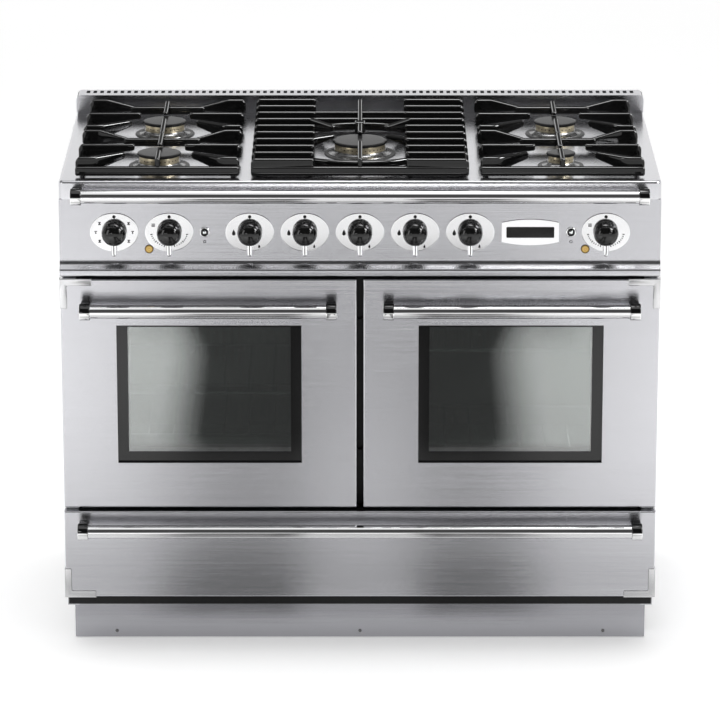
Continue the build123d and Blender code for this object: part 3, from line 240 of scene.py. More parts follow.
class Wire:
    """A socket that can be added, multiplied and compared."""

    def __init__(self, paint, socket):
        self.paint, self.socket = paint, socket

    def math(self, operation, *terms):
        return self.paint.node("ShaderNodeMath", {"operation": operation}, dict(enumerate(terms)))

    def __add__(self, other):
        return self.math("ADD", self, other)

    __radd__ = __add__

    def __sub__(self, other):
        return self.math("SUBTRACT", self, other)

    def __rsub__(self, other):
        return self.math("SUBTRACT", other, self)

    def __mul__(self, other):
        return self.math("MULTIPLY", self, other)

    __rmul__ = __mul__

    def __pow__(self, other):
        return self.math("POWER", self, other)

    def __gt__(self, other):
        return self.math("GREATER_THAN", self, other)

    def __lt__(self, other):
        return self.math("LESS_THAN", self, other)

    def __abs__(self):
        return self.math("ABSOLUTE", self)

    def band(self, low, high):
        """0 below low, 1 above high, smooth between them."""
        return self.paint.node("ShaderNodeMapRange", {"interpolation_type": "SMOOTHSTEP"},
                               {"Value": self, "From Min": low, "From Max": high})

    def part(self, name):
        """One axis of a vector."""
        return self.paint.node("ShaderNodeSeparateXYZ", {}, {"Vector": self}, name)


print("formulas ready")

# %% Paint


class Paint:
    """One material: its shader, with fixed values set on its own sockets, and the nodes that feed it."""

    def __init__(self, name, **fixed):
        self.material = bpy.data.materials.new(name)
        self.material.use_nodes = True
        self.tree = self.material.node_tree
        self.shader = self.tree.nodes["Principled BSDF"]
        for socket, value in fixed.items():
            self.shader.inputs[self.socket_name(socket)].default_value = value

    def socket_name(self, name):
        return name.replace("_", " ").title().replace("Ior", "IOR")

    def node(self, kind, settings, sockets, output=0):
        made = self.tree.nodes.new(kind)
        for name, value in settings.items():
            setattr(made, name, value)
        for key, value in sockets.items():
            if isinstance(value, Wire):
                self.tree.links.new(value.socket, made.inputs[key])
            else:
                made.inputs[key].default_value = value
        return Wire(self, made.outputs[output])

    def coordinate(self, kind):
        """Object: metres in the cooker's frame. Normal: where a surface looks. Generated: a sky's way."""
        return self.node("ShaderNodeTexCoord", {}, {}, kind)

    def axis(self, name):
        return self.coordinate("Object").part(name)

    def scaled(self, grains):
        """Object coordinates in grains: one number for all axes, or three."""
        scale = grains if isinstance(grains, list) else [grains] * 3
        return self.node("ShaderNodeMapping", {}, {"Vector": self.coordinate("Object"), "Scale": scale})

    def noise(self, grains, detail=3.0):
        """Noise of so many grains to the metre."""
        return self.node("ShaderNodeTexNoise", {}, {"Vector": self.scaled(grains), "Scale": 1.0,
                                                    "Detail": detail, "Roughness": 0.55})

    def mix(self, share, first, second):
        return self.node("ShaderNodeMix", {"data_type": "RGBA"}, {0: share, 6: first, 7: second}, 2)

    def neutral(self, level):
        """A grey whose level varies."""
        return self.node("ShaderNodeCombineColor", {}, {0: level, 1: level, 2: level})

    def feed(self, **wires):
        for socket, wire in wires.items():
            self.tree.links.new(wire.socket, self.shader.inputs[self.socket_name(socket)])

    def bump(self, height, strength, depth):
        self.feed(normal=self.node("ShaderNodeBump", {}, {"Height": height, "Strength": strength,
                                                          "Distance": depth}))


def dress(finish, *names):
    """Give CAD nodes a finish."""
    for name in names:
        nodes[name].data.materials.clear()
        nodes[name].data.materials.append(finish)


def grey(level, blue=0.0):
    return (level, level, level + blue, 1.0)


print("paint ready")

# %% [markdown]
# Brushed steel is a metal with long fine scratches, which run across the front and top and up the
# sides. Noise stretched a hundred times and more along the grain tints the metal, roughens it and
# tilts its normals across the grain. The tilt blurs mirrored things more up and down than from side
# to side. A slow noise adds the faint clouding of a large sheet.

# %% Brushed steel
GRAIN_DEPTH = 0.0004


def brushed(name, along, tone, rough=0.17, dent=0.4):
    """Steel whose grain runs along one axis; tone is its mean brightness, rough its least roughness."""
    paint = Paint(name, metallic=1.0)
    coarse = paint.noise([1.2 if k == along else 140.0 for k in range(3)])
    fine = paint.noise([6.0 if k == along else 1500.0 for k in range(3)], 2.0)
    streak = coarse * 0.5 + fine * 0.5
    shade = streak * 0.7 + paint.noise(1.6, 1.0) * 0.3
    paint.feed(base_color=paint.mix(shade, grey(tone * 0.86, 0.02), grey(tone * 1.16, 0.028)),
               roughness=rough + streak * 0.1)
    paint.bump(streak, dent, GRAIN_DEPTH)
    return paint.material


steel = brushed("brushed_steel_across", 0, 0.56)
side_steel = brushed("brushed_steel_upright", 2, 0.56)
# The hob's copy of the steel is painted lighter, standing in for the bright light it mirrors.
hob_steel_painted_lighter = brushed("brushed_steel_hob_painted_lighter", 0, 0.68, 0.18, 0.06)
# The plinth's copy of the steel is painted darker, standing in for the shade it mirrors near the floor.
plinth_steel_painted_darker = brushed("brushed_steel_plinth_painted_darker", 0, 0.4)
dress(steel, "rear_vent_trim", "door_skin_left", "door_skin_right", "drawer_front")
dress(plinth_steel_painted_darker, "plinth")
dress(side_steel, "side_panels")
print("steel on the front, hob trim and sides")

# %% [markdown]
# Chrome plate is a near-perfect mirror. A faint uneven polish, slow noise in the roughness, keeps it
# from looking unreal. The bars' end brackets look dark on top, so their plate carries painted shade:
# its colour darkens wherever its normal looks up, standing in for the dark reflection there.

# %% Chrome and bright wire


def plated(name, tone, rough):
    """Polished plate with an uneven rub."""
    paint = Paint(name, metallic=1.0)
    rub = paint.noise([14.0, 40.0, 40.0])
    spots = paint.noise(220.0, 2.0)
    paint.feed(base_color=paint.mix(rub, grey(tone * 0.94, 0.006), grey(tone, 0.01)),
               roughness=rough + rub * 0.012 + spots * 0.005)
    return paint.material


def top_shaded_plate(name):
    """Chrome with painted shade: its colour darkens as the Z part of its normal rises from level."""
    paint = Paint(name, metallic=1.0)
    painted_top_shade = paint.coordinate("Normal").part("Z").band(0.02, 0.14)
    paint.feed(base_color=paint.mix(painted_top_shade, grey(0.84), grey(0.07)),
               roughness=0.03 + paint.noise(60.0) * 0.03)
    return paint.material


chrome = plated("polished_chrome", 0.86, 0.02)
# Painted shade: the brackets' plate is darkened wherever it looks up.
bracket_plate_painted_shade = top_shaded_plate("chrome_bracket_painted_dark_top")
bright_wire = plated("bright_wire", 0.72, 0.16)
bezel_plate = plated("satin_bezel", 0.84, 0.13)
cap_plate = plated("satin_corner_cap", 0.64, 0.16)
dress(chrome, "badge_plate")
dress(bright_wire, "oven_shelves", "shelf_ladders")
print("chrome on badge and wire")

# %% [markdown]
# The pan supports are iron under glossy black enamel. Casting sand leaves a slight orange peel, so a
# bump of two noises lies below a clear coat. Pans rub the gloss off the level tops, so the coat thins
# where the normal looks straight up. The ovens have grey enamel with pale flecks.

# %% Enamels and plastics
PEEL_DEPTH = 0.0005


def enamelled(name, low, high, rough, peel, grain, gloss, ior=1.5):
    """Glass enamel or moulded gloss: a dark ground with a fine mottle and a peel in the surface."""
    paint = Paint(name, specular_ior_level=gloss, ior=ior)
    mottle = paint.noise(grain)
    paint.feed(base_color=paint.mix(mottle, low, high), roughness=rough + mottle * 0.08)
    paint.bump(paint.noise(grain / 6, 2.0) * 0.7 + mottle * 0.3, peel, PEEL_DEPTH)
    return paint.material


def rubbed(name):
    """Black enamel under a clear gloss, which pans have rubbed off the level tops."""
    paint = Paint(name, specular_ior_level=0.0, coat_roughness=0.05, coat_ior=2.0)
    mottle = paint.noise(260.0)
    level = paint.coordinate("Normal").part("Z")
    kept, worn = level.band(0.05, 0.3) * 0.7 + 0.3, level.band(0.9, 0.985) * 0.93
    paint.feed(base_color=paint.mix(mottle, grey(0.004), grey(0.01)), roughness=0.2 + mottle * 0.1,
               coat_weight=kept * (1.0 - worn))
    paint.bump(paint.noise(43.0, 2.0) * 0.7 + mottle * 0.3, 0.08, PEEL_DEPTH)
    return paint.material


def speckled(name, ground, fleck):
    """Oven enamel: a grey ground with pale flecks where a fine noise peaks."""
    paint = Paint(name, coat_weight=0.4, coat_roughness=0.1)
    grain, cloud = paint.noise(420.0, 1.0), paint.noise(9.0)
    tone = paint.mix(cloud, ground, tuple(part * 1.25 for part in ground[:3]) + (1.0,))
    paint.feed(base_color=paint.mix(grain.band(0.66, 0.72), tone, fleck), roughness=0.3 + cloud * 0.2)
    paint.bump(grain, 0.08, 0.0003)
    return paint.material


iron = rubbed("black_enamel_iron")
gloss_black = enamelled("gloss_black_plastic", grey(0.003), grey(0.006), 0.02, 0.01, 400.0, 0.5, 1.52)
black_sheet = enamelled("black_painted_sheet", grey(0.008), grey(0.02), 0.34, 0.1, 300.0, 0.25)
mark_ink = enamelled("printed_black_mark", grey(0.008), grey(0.018), 0.4, 0.05, 900.0, 0.2)
oven_enamel = speckled("speckled_oven_enamel", (0.1, 0.105, 0.1, 1.0), (0.3, 0.3, 0.29, 1.0))
dress(oven_enamel, "oven_liner_left", "oven_liner_right", "fan_covers")
# The base frame is painted black: painted shade for the dark gap under the drawer.
dress(black_sheet, "front_frame", "door_catches", "base_frame")
print("enamel on ovens and frame")

# %% [markdown]
# Hidden sheet is zinc-coated. Zinc cools into flat crystals, each with its own grey, which a Voronoi
# pattern gives. Rubber, heat-darkened steel, brass and ceramic each have a noise of their own scale.

# %% Zinc, rubber, dark steel, ceramic


def zinc(name):
    """Spangled zinc: every Voronoi cell has its own grey and its own gloss."""
    paint = Paint(name, metallic=1.0)
    cell = paint.node("ShaderNodeTexVoronoi", {}, {"Vector": paint.scaled(90.0), "Scale": 1.0}, "Color")
    level = paint.node("ShaderNodeSeparateColor", {}, {"Color": cell}, 0)
    paint.feed(base_color=paint.mix(level, (0.4, 0.41, 0.42, 1.0), (0.58, 0.59, 0.61, 1.0)),
               roughness=0.34 + level * 0.16)
    return paint.material


def grained(name, low, high, rough, scale, metal=0.0, peel=0.15, gloss=0.5):
    """A plain ground with a fine grain in colour, gloss and surface."""
    paint = Paint(name, metallic=metal, specular_ior_level=gloss)
    grain = paint.noise(scale)
    paint.feed(base_color=paint.mix(grain, low, high), roughness=rough + grain * 0.15)
    paint.bump(grain, peel, GRAIN_DEPTH)
    return paint.material


woven_seal = grained("woven_seal", grey(0.05), grey(0.12), 0.7, 700.0)
foot_plastic = grained("foot_plastic", grey(0.03), grey(0.06), 0.5, 500.0)
heated_steel = grained("heated_steel", (0.1, 0.09, 0.085, 1), (0.2, 0.18, 0.17, 1), 0.4, 300.0, 1.0)
pipe_brass = grained("pipe_brass", (0.5, 0.35, 0.13, 1), (0.68, 0.5, 0.22, 1), 0.25, 240.0, 1.0)
ceramic = grained("glazed_ceramic", (0.74, 0.71, 0.66, 1), (0.84, 0.82, 0.78, 1), 0.2, 500.0, 0.0, 0.05)
cap_grey = grained("satin_burner_cap", grey(0.015), grey(0.03), 0.12, 420.0, 0.0, 0.015, 0.05)
dish_grey = grained("dark_burner_dish", grey(0.05), grey(0.1), 0.34, 300.0, 0.4, 0.12)
collar_metal = grained("spun_burner_collar", grey(0.28), grey(0.4), 0.18, 500.0, 1.0, 0.05)
dull_screw = grained("dull_screw", grey(0.16), grey(0.24), 0.3, 500.0, 1.0, 0.05)
dress(zinc("spangled_zinc"), "back_panel", "drawer_runners", "drawer_tray", "hinge_brackets",
      "door_liner_left", "door_liner_right", "fan_motors")
dress(woven_seal, "oven_seals")
dress(foot_plastic, "levelling_feet")
dress(heated_steel, "heating_elements", "oven_fan_left", "oven_fan_right")
dress(pipe_brass, "gas_pipes", "control_valves")
print("zinc, rubber, dark steel and ceramic ready")

# %% [markdown]
# The main places come from the CAD nodes' own boxes, so the dressed pieces cannot drift from the
# solids.

# %% Main places
Y_FACE = box_mm("door_skin_left")[0].y
HOB = box_mm("hob_top")[1].z
KNOB_Z = middle_of("knob_bezels").z
BEZEL_FACE = box_mm("knob_bezels")[0].y
GAS_TAPS = ["front_left", "rear_left", "wok", "rear_right", "front_right"]
THERMOSTATS = ["left_oven", "right_oven"]
KNOBS = ["oven_mode", "left_oven", *GAS_TAPS, "right_oven"]
KNOB_X = {name: middle_of("knob_" + name).x for name in KNOBS}
print("door face", Y_FACE, "hob", HOB, "knob axis height", KNOB_Z, KNOB_X)

# %% [markdown]
# A knob is a glossy black dome on a narrow waist, with a chrome lever below it and a thin black stripe
# down the lever's front. The dome is turned: its profile rises from the waist to the widest ring and
# follows a superellipse to the crown. The lever is a rounded bar.

# %% Knobs
KNOB_RADIUS, WAIST_RADIUS, SKIRT, KNOB_HEIGHT = 22.5, 19.0, 9.0, 30.0
rise = np.linspace(0, 1, 10)[:-1]
dome_arc = np.linspace(0, np.pi / 2, 26)
waist = np.stack([WAIST_RADIUS + (KNOB_RADIUS - WAIST_RADIUS) * np.sin(rise * np.pi / 2), SKIRT * rise],
                 axis=-1)
crown = np.stack([KNOB_RADIUS * np.cos(dome_arc) ** 0.85 + POLE,
                  SKIRT + (KNOB_HEIGHT - SKIRT) * np.sin(dome_arc) ** 0.92], axis=-1)
dome = turned(np.concatenate([[[POLE, 0.0]], waist, crown]))
LEVER_ROOT, LEVER_TIP, LEVER_LIFT, LEVER_HALF, LINE_HALF = -14.0, -41.0, 15.0, 4.0, 0.9
lever = cast_bar([(0, LEVER_ROOT), (0, LEVER_TIP)], [LEVER_LIFT - LEVER_HALF] * 2,
                 [LEVER_LIFT + LEVER_HALF] * 2, 9.5, 4.0)
line_tip = LEVER_TIP + 4
line = np.array([(-LINE_HALF, line_tip), (LINE_HALF, line_tip), (LINE_HALF, LEVER_ROOT),
                 (-LINE_HALF, LEVER_ROOT)])
lever_stripe = slab(line, LEVER_LIFT + LEVER_HALF - 1.0, LEVER_LIFT + LEVER_HALF + 0.15, 0.1, 2)
KNOB_SEAT = BEZEL_FACE - 0.6
for name in KNOBS:
    spot, body = (KNOB_X[name], KNOB_Z, KNOB_SEAT), "knob_" + name
    piece("dome_" + name, [on_front(dome, *spot)], gloss_black, body, [body])
    piece("lever_" + name, [on_front(lever, *spot)], chrome, body)
    piece("pointer_" + name, [on_front(lever_stripe, *spot)], mark_ink, body)

# %% [markdown]
# Behind each knob lies an oval plate with a rounded rim: a turned disc, scaled along X and Z.

# %% Bezels
BEZEL_WIDE, BEZEL_TALL, BEZEL_THICK = 44.0, 35.5, Y_FACE - BEZEL_FACE
oval = turned(rounded_profile(1.0, 0, 1, 0.05), 96) * np.array([BEZEL_WIDE, BEZEL_TALL, BEZEL_THICK])
piece("oval_bezels", [on_front(oval, x, KNOB_Z, Y_FACE) for x in KNOB_X.values()], bezel_plate, "casing",
      ["knob_bezels"])

# %% [markdown]
# The bezels carry printed marks: a dot at the off position, a large and a small flame on the gas
# taps, ticks round the thermostats and plain signs round the oven selector. A flame is a drop: x = r
# sin t (sin t/2)^1.5, y = 1.3 r cos t.

# %% Outlines of marks
INK = 0.2


def disc(radius, x=0.0, y=0.0, sides=20):
    turn = np.linspace(0, 2 * np.pi, sides, endpoint=False)
    return np.stack([x + radius * np.cos(turn), y + radius * np.sin(turn)], axis=-1)


def drop(size, x, y):
    turn = np.linspace(0, 2 * np.pi, 28, endpoint=False) + 0.1
    wide = size * np.sin(turn) * np.abs(np.sin(turn / 2)) ** 1.5
    return np.stack([x - wide, y + size * 1.3 * np.cos(turn)], axis=-1)


def tick(x, y, wide, high, angle=0.0):
    """A small bar, turned by an angle."""
    corners = np.array([(-1, -1), (1, -1), (1, 1), (-1, 1)]) * (wide / 2, high / 2)
    turn = np.array([(np.cos(angle), np.sin(angle)), (-np.sin(angle), np.cos(angle))])
    return corners @ turn + (x, y)


def round_bezel(angle, share):
    """A point on a smaller copy of the bezel's oval; the angle is in degrees from three o'clock."""
    bend = np.radians(angle)
    return share * BEZEL_WIDE * np.cos(bend), share * BEZEL_TALL * np.sin(bend)


def printed(outline, x, z, y):
    """A mark on the front."""
    return on_front(slab(outline, 0.0, INK, 0.05, 2), x, z, y)


print("outlines ready")

# %% Marks on the bezels
marks = []


def mark(name, outline):
    marks.append(printed(outline, KNOB_X[name], KNOB_Z, BEZEL_FACE))


for name in KNOBS:
    mark(name, disc(3.1, 0, 0.82 * BEZEL_TALL))
for name in GAS_TAPS:
    mark(name, drop(4.5, *round_bezel(180, 0.66)))
    mark(name, drop(2.8, *round_bezel(-62, 0.82)))
for name in THERMOSTATS:
    for step, angle in enumerate(np.linspace(-172, -8, 21)):
        if abs(angle + 90) > 12:
            long = 4.2 if step % 4 == 0 else 2.6
            mark(name, tick(*round_bezel(angle, 0.74), long, 1.7, np.radians(angle)))
    x, y = round_bezel(150, 0.76)
    for line in (-2.2, 0.0, 2.2):
        mark(name, tick(x, y + line, 6.4, 1.4))
for angle in (38, 0, -38, -142, 180, 142):
    x, y = round_bezel(angle, 0.76)
    mark("oven_mode", tick(x, y + 2.0, 5.0, 1.5))
    mark("oven_mode", tick(x, y - 2.0, 5.0 if angle % 4 else 2.6, 1.5))
    mark("oven_mode", disc(1.1 + (angle % 3) * 0.3, x, y, 10))
piece("bezel_marks", marks, mark_ink, "casing")

# %% [markdown]
# Between the knobs stand two push buttons in chrome rings. A ring's profile comes back to where it
# began, so its hole stays open for the button. A button is a black face with a bright stud in its
# hollow.

# %% Buttons and rings
PROUD, HOLLOW, STUD_RADIUS, STUD_HEIGHT = 4.7, 1.6, 3.45, 1.8
push = turned([(POLE, -8.0), (6, -8.0), (6, PROUD - 1.8), (5.6, PROUD - 1.2), (4.6, PROUD - 1.0),
               (3.6, PROUD - HOLLOW), (POLE, PROUD - HOLLOW)], 48)
stud_foot = (POLE, PROUD - STUD_HEIGHT)
stud = turned(np.concatenate([[stud_foot], arc(STUD_RADIUS, STUD_HEIGHT, 0, QUARTER, 12) + stud_foot]), 48)
rim = arc(1.6, 1.6, 0, np.pi, 12) + (8.0, 0.6)
ring = turned(np.concatenate([[(6.3, 0.05), (9.6, 0.0)], rim, [(6.3, 0.3), (6.3, 0.05)]]), 48)
BUTTONS = ["ignition_button", "light_button"]
button_spots = [(middle_of(name).x, middle_of(name).z, Y_FACE) for name in BUTTONS]
for name, spot in zip(BUTTONS, button_spots):
    piece(name + "_face", [on_front(push, *spot)], gloss_black, name, [name])
    piece(name + "_stud", [on_front(stud, *spot)], chrome, name)
piece("rolled_rings", [on_front(ring, *spot) for spot in button_spots], chrome, "casing",
      ["button_rings"])

# %% [markdown]
# Two amber lamps tell when the ovens heat. A lens has concentric ridges that spread the light, so its
# profile carries a cosine wave, and its colour carries painted light and shade in rings along the radius.

# %% Indicator lamps
LAMP_RADIUS, LAMP_THICK, LAMP_STEM, RIDGE = 8.0, 3.5, 4.5, 1.9
reach = np.linspace(7.0, POLE, 40)
ridges = np.stack([reach, LAMP_THICK - 0.5 - 0.02 * reach ** 2 + 0.3 * np.cos(reach * 2 * np.pi / RIDGE)],
                  axis=-1)
lens = turned(np.concatenate([[(POLE, -10.0), (LAMP_STEM, -10.0), (LAMP_STEM, 0.0), (LAMP_RADIUS, 0.0),
                               (LAMP_RADIUS, 1.6), (7.4, 2.2)], ridges]), 48)


def ringed_amber(xs, z):
    """Amber with painted light and shade in rings for the light the ridges spread: dark where sin(2 pi r /
    3) dips, and dark at the rim.
    """
    paint = Paint("amber_lens", roughness=0.12)
    side, up = paint.axis("X"), paint.axis("Z") - z * MM
    reach = [((side - x * MM) * (side - x * MM) + up * up) ** 0.5 * (1 / MM) for x in xs]
    radius = reach[0].math("MINIMUM", *reach)
    painted_ring_light = radius.math("SINE", radius * (2 * np.pi / 3.0)) * 0.5 + 0.5
    glow = paint.mix(painted_ring_light, (0.74, 0.42, 0.07, 1), (0.98, 0.78, 0.3, 1))
    paint.feed(base_color=paint.mix(radius.band(5.6, 6.8), glow, (0.12, 0.07, 0.03, 1)))
    return paint.material


lamp_low, lamp_high = box_mm("indicator_lamps")
lamp_z = middle_of("indicator_lamps").z
lamp_xs = (lamp_low.x + LAMP_RADIUS, lamp_high.x - LAMP_RADIUS)
piece("ridged_lamps", [on_front(lens, x, lamp_z, Y_FACE) for x in lamp_xs],
      ringed_amber(lamp_xs, lamp_z), "casing", ["indicator_lamps"])

# %% [markdown]
# A small circle of dashes is printed below each button.

# %% Marks below the buttons
HOOP_RADIUS, HOOP_DROP = 2.3, 18.0
hoop = [tick(HOOP_RADIUS * np.cos(turn), HOOP_RADIUS * np.sin(turn) - HOOP_DROP, 1.4, 1.1, turn + np.pi / 2)
        for turn in np.linspace(0, 2 * np.pi, 12, endpoint=False)]
piece("button_marks", [printed(dash, *spot) for spot in button_spots for dash in hoop], mark_ink, "casing")

# %% [markdown]
# Four polished bars cross the front: the hob rail, two door handles and the drawer handle. Each end
# bracket is a turned sleeve round the bar's end and a rounded post to the face behind. Brackets are
# pieces of their own, because their plate carries painted shade on top.

# %% Bars and brackets
BAR_RADIUS, SLEEVE_RADIUS, SLEEVE_LENGTH, SLEEVE_EDGE, POST_HIGH, BAR_INSET = 12.25, 15.5, 19.5, 1.8, 18.0, 4


def handle(node, body, face):
    """A bar with its two brackets, filling the node's own box."""
    low, high = box_mm(node)
    axis_y, axis_z = low.y + SLEEVE_RADIUS, middle_of(node).z
    start, stop = low.x + BAR_INSET, high.x - BAR_INSET
    bar = [(POLE, start), (BAR_RADIUS, start), (BAR_RADIUS, stop), (POLE, stop)]
    piece(node + "_bar", [along_x(turned(bar), axis_y, axis_z)], chrome, body, [node])
    grids = []
    for end in (low.x, high.x - SLEEVE_LENGTH):
        sleeve = rounded_profile(SLEEVE_RADIUS, end, end + SLEEVE_LENGTH, SLEEVE_EDGE, SLEEVE_EDGE)
        grids.append(along_x(turned(sleeve), axis_y, axis_z))
        middle = end + SLEEVE_LENGTH / 2
        grids.append(cast_bar([(middle, axis_y), (middle, face)], [axis_z - POST_HIGH / 2] * 2,
                              [axis_z + POST_HIGH / 2] * 2, SLEEVE_LENGTH - 1.0, 2.0))
    piece(node + "_brackets", grids, bracket_plate_painted_shade, body)


handle("hob_rail", "casing", Y_FACE)
handle("door_handle_left", "door_left", Y_FACE)
handle("door_handle_right", "door_right", Y_FACE)
handle("drawer_handle", "drawer", box_mm("drawer_front")[0].y)

# %% [markdown]
# The hob is a pressed tray. Its rounded outline shrinks as it rises over the edge, so the front edge
# catches a line of light as a pressing does. The burner dishes cover its openings.

# %% Hob top
HOB_CORNER, HOB_EDGE = 10.0, 5.0


def rounded_outline(x, y, radius, steps=8):
    """Points anticlockwise round a rectangle, its corners rounded."""
    middle = np.array([sum(x), sum(y)]) / 2
    parts = []
    for turn, corner in enumerate([(x[1], y[1]), (x[0], y[1]), (x[0], y[0]), (x[1], y[0])]):
        centre = corner + np.sign(middle - corner) * radius
        parts.append(centre + arc(radius, radius, turn * QUARTER, (turn + 1) * QUARTER, steps))
    return np.concatenate(parts)


hob_low, hob_high = box_mm("hob_top")
plan = rounded_outline((hob_low.x, hob_high.x), (hob_low.y, hob_high.y), HOB_CORNER)
piece("pressed_hob", [slab(plan, hob_low.z, HOB, HOB_EDGE, 10)], hob_steel_painted_lighter, "casing",
      ["hob_top"])

# %% [markdown]
# A burner is a stack of turned pieces: a dark dish, a bright spun collar, a brass head with gas ports
# and a satin cap. The profiles' radii are counted from the cap's, so one table serves all sizes. A
# ceramic igniter stands beside each head.

# %% Burners
DISH, HEAD, CAP = 2.5, 18.5, 5.0
TOP = DISH + HEAD + CAP
SIDE_CAP, WOK_CAP, SIMMER_CAP = 40.0, 50.0, 26.5
FRONT_ROW, WOK_ROW, REAR_ROW = 118.0, 215.0, 373.0
LEFT_X, RIGHT_X = middle_of("pan_support_left").x, middle_of("pan_support_right").x
BURNERS = [(LEFT_X, FRONT_ROW, SIDE_CAP), (LEFT_X, REAR_ROW, SIDE_CAP), (0.0, WOK_ROW, WOK_CAP),
           (RIGHT_X, REAR_ROW, SIDE_CAP), (RIGHT_X, FRONT_ROW, SIMMER_CAP)]
COLUMNS = 72


def stacked(beyond):
    """A turned piece on every burner, from rows of (radius beyond the cap's, height); None is the pole."""
    grids = []
    for x, ahead, cap in BURNERS:
        profile = [(POLE if more is None else cap + more, height) for more, height in beyond]
        grids.append(moved(turned(profile, COLUMNS), x, Y_FACE + ahead, HOB))
    return grids


dishes = stacked([(None, -1), (15.5, -1), (16, 0.6), (15.2, 1.8), (13, DISH), (10, 1.6), (None, 1.4)])
collars = stacked([(None, 1.2), (9, 1.2), (8.4, 2.6), (2, 4.6), (-1.4, 7.4), (-2, 9.0), (None, 9.0)])
caps = stacked([(None, TOP - CAP), (-1.2, TOP - CAP), (0, TOP - CAP + 0.9), (0, TOP - 1.9),
                (-0.5, TOP - 0.8), (-1.8, TOP - 0.2), (-6, TOP), (None, TOP - 0.3)])
spark = turned([(POLE, 2), (3, 2), (3, 14), (1.3, 15), (1.2, 21), (0.9, 22), (POLE, 22.4)], 24)
beside = np.array([np.cos(np.radians(60)), np.sin(np.radians(60))])
igniters = [moved(spark, *((x, Y_FACE + ahead) + (cap + 7) * beside), HOB) for x, ahead, cap in BURNERS]
piece("dark_dishes", dishes, dish_grey, "casing", ["burner_cups"])
piece("spun_collars", collars, collar_metal, "casing")
piece("satin_caps", caps, cap_grey, "casing", ["burner_caps"])
piece("spark_igniters", igniters, ceramic, "casing", ["igniters"])

# %% [markdown]
# The gas ports follow the head's surface, so the head carries a UV map whose U counts ports and whose
# V runs up the head. A port is where 6 u'^2 + 16 v'^2 is small, with u' and v' measured from the
# middle of a cell.

# %% Brass heads


def ported_brass():
    """Turned brass with a row of dark holes."""
    paint = Paint("ported_brass", metallic=1.0)
    uv = paint.node("ShaderNodeUVMap", {"uv_map": "ports"}, {})
    across, up = uv.part("X"), uv.part("Y") - 0.5
    cell = across.math("FRACT", across) - 0.5
    hole = 1.0 - (cell * cell * 6.0 + up * up * 16.0).band(0.07, 0.18)
    wear = paint.noise([160.0, 160.0, 900.0])
    ground = paint.mix(wear, (0.6, 0.51, 0.34, 1), (0.78, 0.7, 0.52, 1))
    paint.feed(base_color=paint.mix(hole, ground, (0.02, 0.015, 0.01, 1)), roughness=0.26 + wear * 0.16)
    return paint.material


head_rows = [(None, 8), (-4, 8), (-3.4, 9.5), (-3.4, 19.2), (-4, 20.6), (None, 20.6)]
head_piece = piece("ported_heads", stacked(head_rows), ported_brass(), "casing", ["burner_heads"])

# %% [markdown]
# U has to run on past the last column instead of falling back to 0, or the last cell would squeeze
# every port into itself. So a corner in column 0 of a face that also touches the last column counts
# as one column further.

# %% Gas ports on the heads
PORT_STEP = 9.0
port_counts = np.array([round(2 * np.pi * cap / PORT_STEP) for _, _, cap in BURNERS])
mesh = head_piece.data
point = np.empty(len(mesh.loops), dtype=np.int32)
mesh.loops.foreach_get("vertex_index", point)
sizes = np.empty(len(mesh.polygons), dtype=np.int32)
mesh.polygons.foreach_get("loop_total", sizes)
burner, within = np.divmod(point, COLUMNS * len(head_rows))
row, column = np.divmod(within, COLUMNS)
owner = np.repeat(np.arange(len(sizes)), sizes)
wall = sizes[owner] == 4
last_column = np.maximum.reduceat(column, np.cumsum(sizes) - sizes)[owner] == COLUMNS - 1
column = np.where(wall & last_column & (column == 0), COLUMNS, column)
up_head = np.where(wall, np.array([0.0, 0.0, 0.12, 0.88, 1.0, 1.0])[row], 0.0)
flat = np.stack([column / COLUMNS * port_counts[burner], up_head], axis=-1)
mesh.uv_layers.new(name="ports").data.foreach_set("uv", flat.astype(np.float32).ravel())
print("ports on each head", port_counts)

# %% [markdown]
# The pan supports are the showpiece: three iron castings of bars, ribs and fingers. No casting has a
# sharp edge, so every member is a rounded bar carried along its plan path, rising and thinning as the
# CAD member does. Members run into one another as they do in the mould.

# %% Pan supports: members
TALL, BAR_LOW, BAR_TOP, FRAME_LOW, FRAME_TOP, RAIL_TOP = 35.0, 3.0, 20.0, 8.0, 23.0, 16.0
TIP_LOW, OVER_CAP, WEB, BAR, CHAMFER = 23.0, 28.0, 9.0, 11.0, 6.0
FRONT, BACK, ELBOW, LIFT = 25.0 + BAR / 2, 518.0, 33.0, 3.0


def cross_bar(reach, y, low, top):
    return cast_bar([(-reach, y), (reach, y)], [low] * 2, [top] * 2, BAR)


def rail(x, start, stop):
    return cast_bar([(x, start), (x, stop)], [FRAME_LOW] * 2, [RAIL_TOP] * 2, BAR)


def peg(x, y):
    return moved(turned(rounded_profile(6.0, 0, RAIL_TOP, 1.5, 1.5), 24), x, y)


def rib(start, stop, low, tip_low, root=0.0, width=WEB):
    """A straight rib of full height whose underside rises from low to tip_low."""
    return cast_bar([start, stop], [low, tip_low], [TALL] * 2, width, root=root)


def cap_finger(start, axis, cap, overlap, low):
    """A finger along Y that rises to clear a burner cap, then runs level over its edge."""
    way = 1 if axis > start else -1
    plan = [(0, start), (0, axis - way * (cap + LIFT)), (0, axis - way * (cap - overlap))]
    return cast_bar(plan, [low, OVER_CAP, OVER_CAP], [TALL] * 3, WEB)


def bent_finger(wing, edge, root_y, tip, top=TALL):
    """A finger that runs in from the side, bends towards its burner and tapers."""
    plan = [(wing * edge, root_y), (wing * (edge - ELBOW), root_y), tip]
    low = [FRAME_LOW, FRAME_LOW, min(TIP_LOW, top - WEB)]
    return cast_bar(plan, low, [TALL, TALL, top], WEB, root=CHAMFER)


print("members ready")

# %% Pan supports: side castings
MIDDLE_BAR, MIDDLE_STEP, REAR_STEP, TIP_X, RIB_TIP = 240.0, 18.0, 10.0, 62.0, 46.0
BEND_ROOT, BEND_TIP, RIB_BEHIND = -75.0, -34.0, 26.0
LONG_LAP, SHORT_LAP = 22.0, 8.0


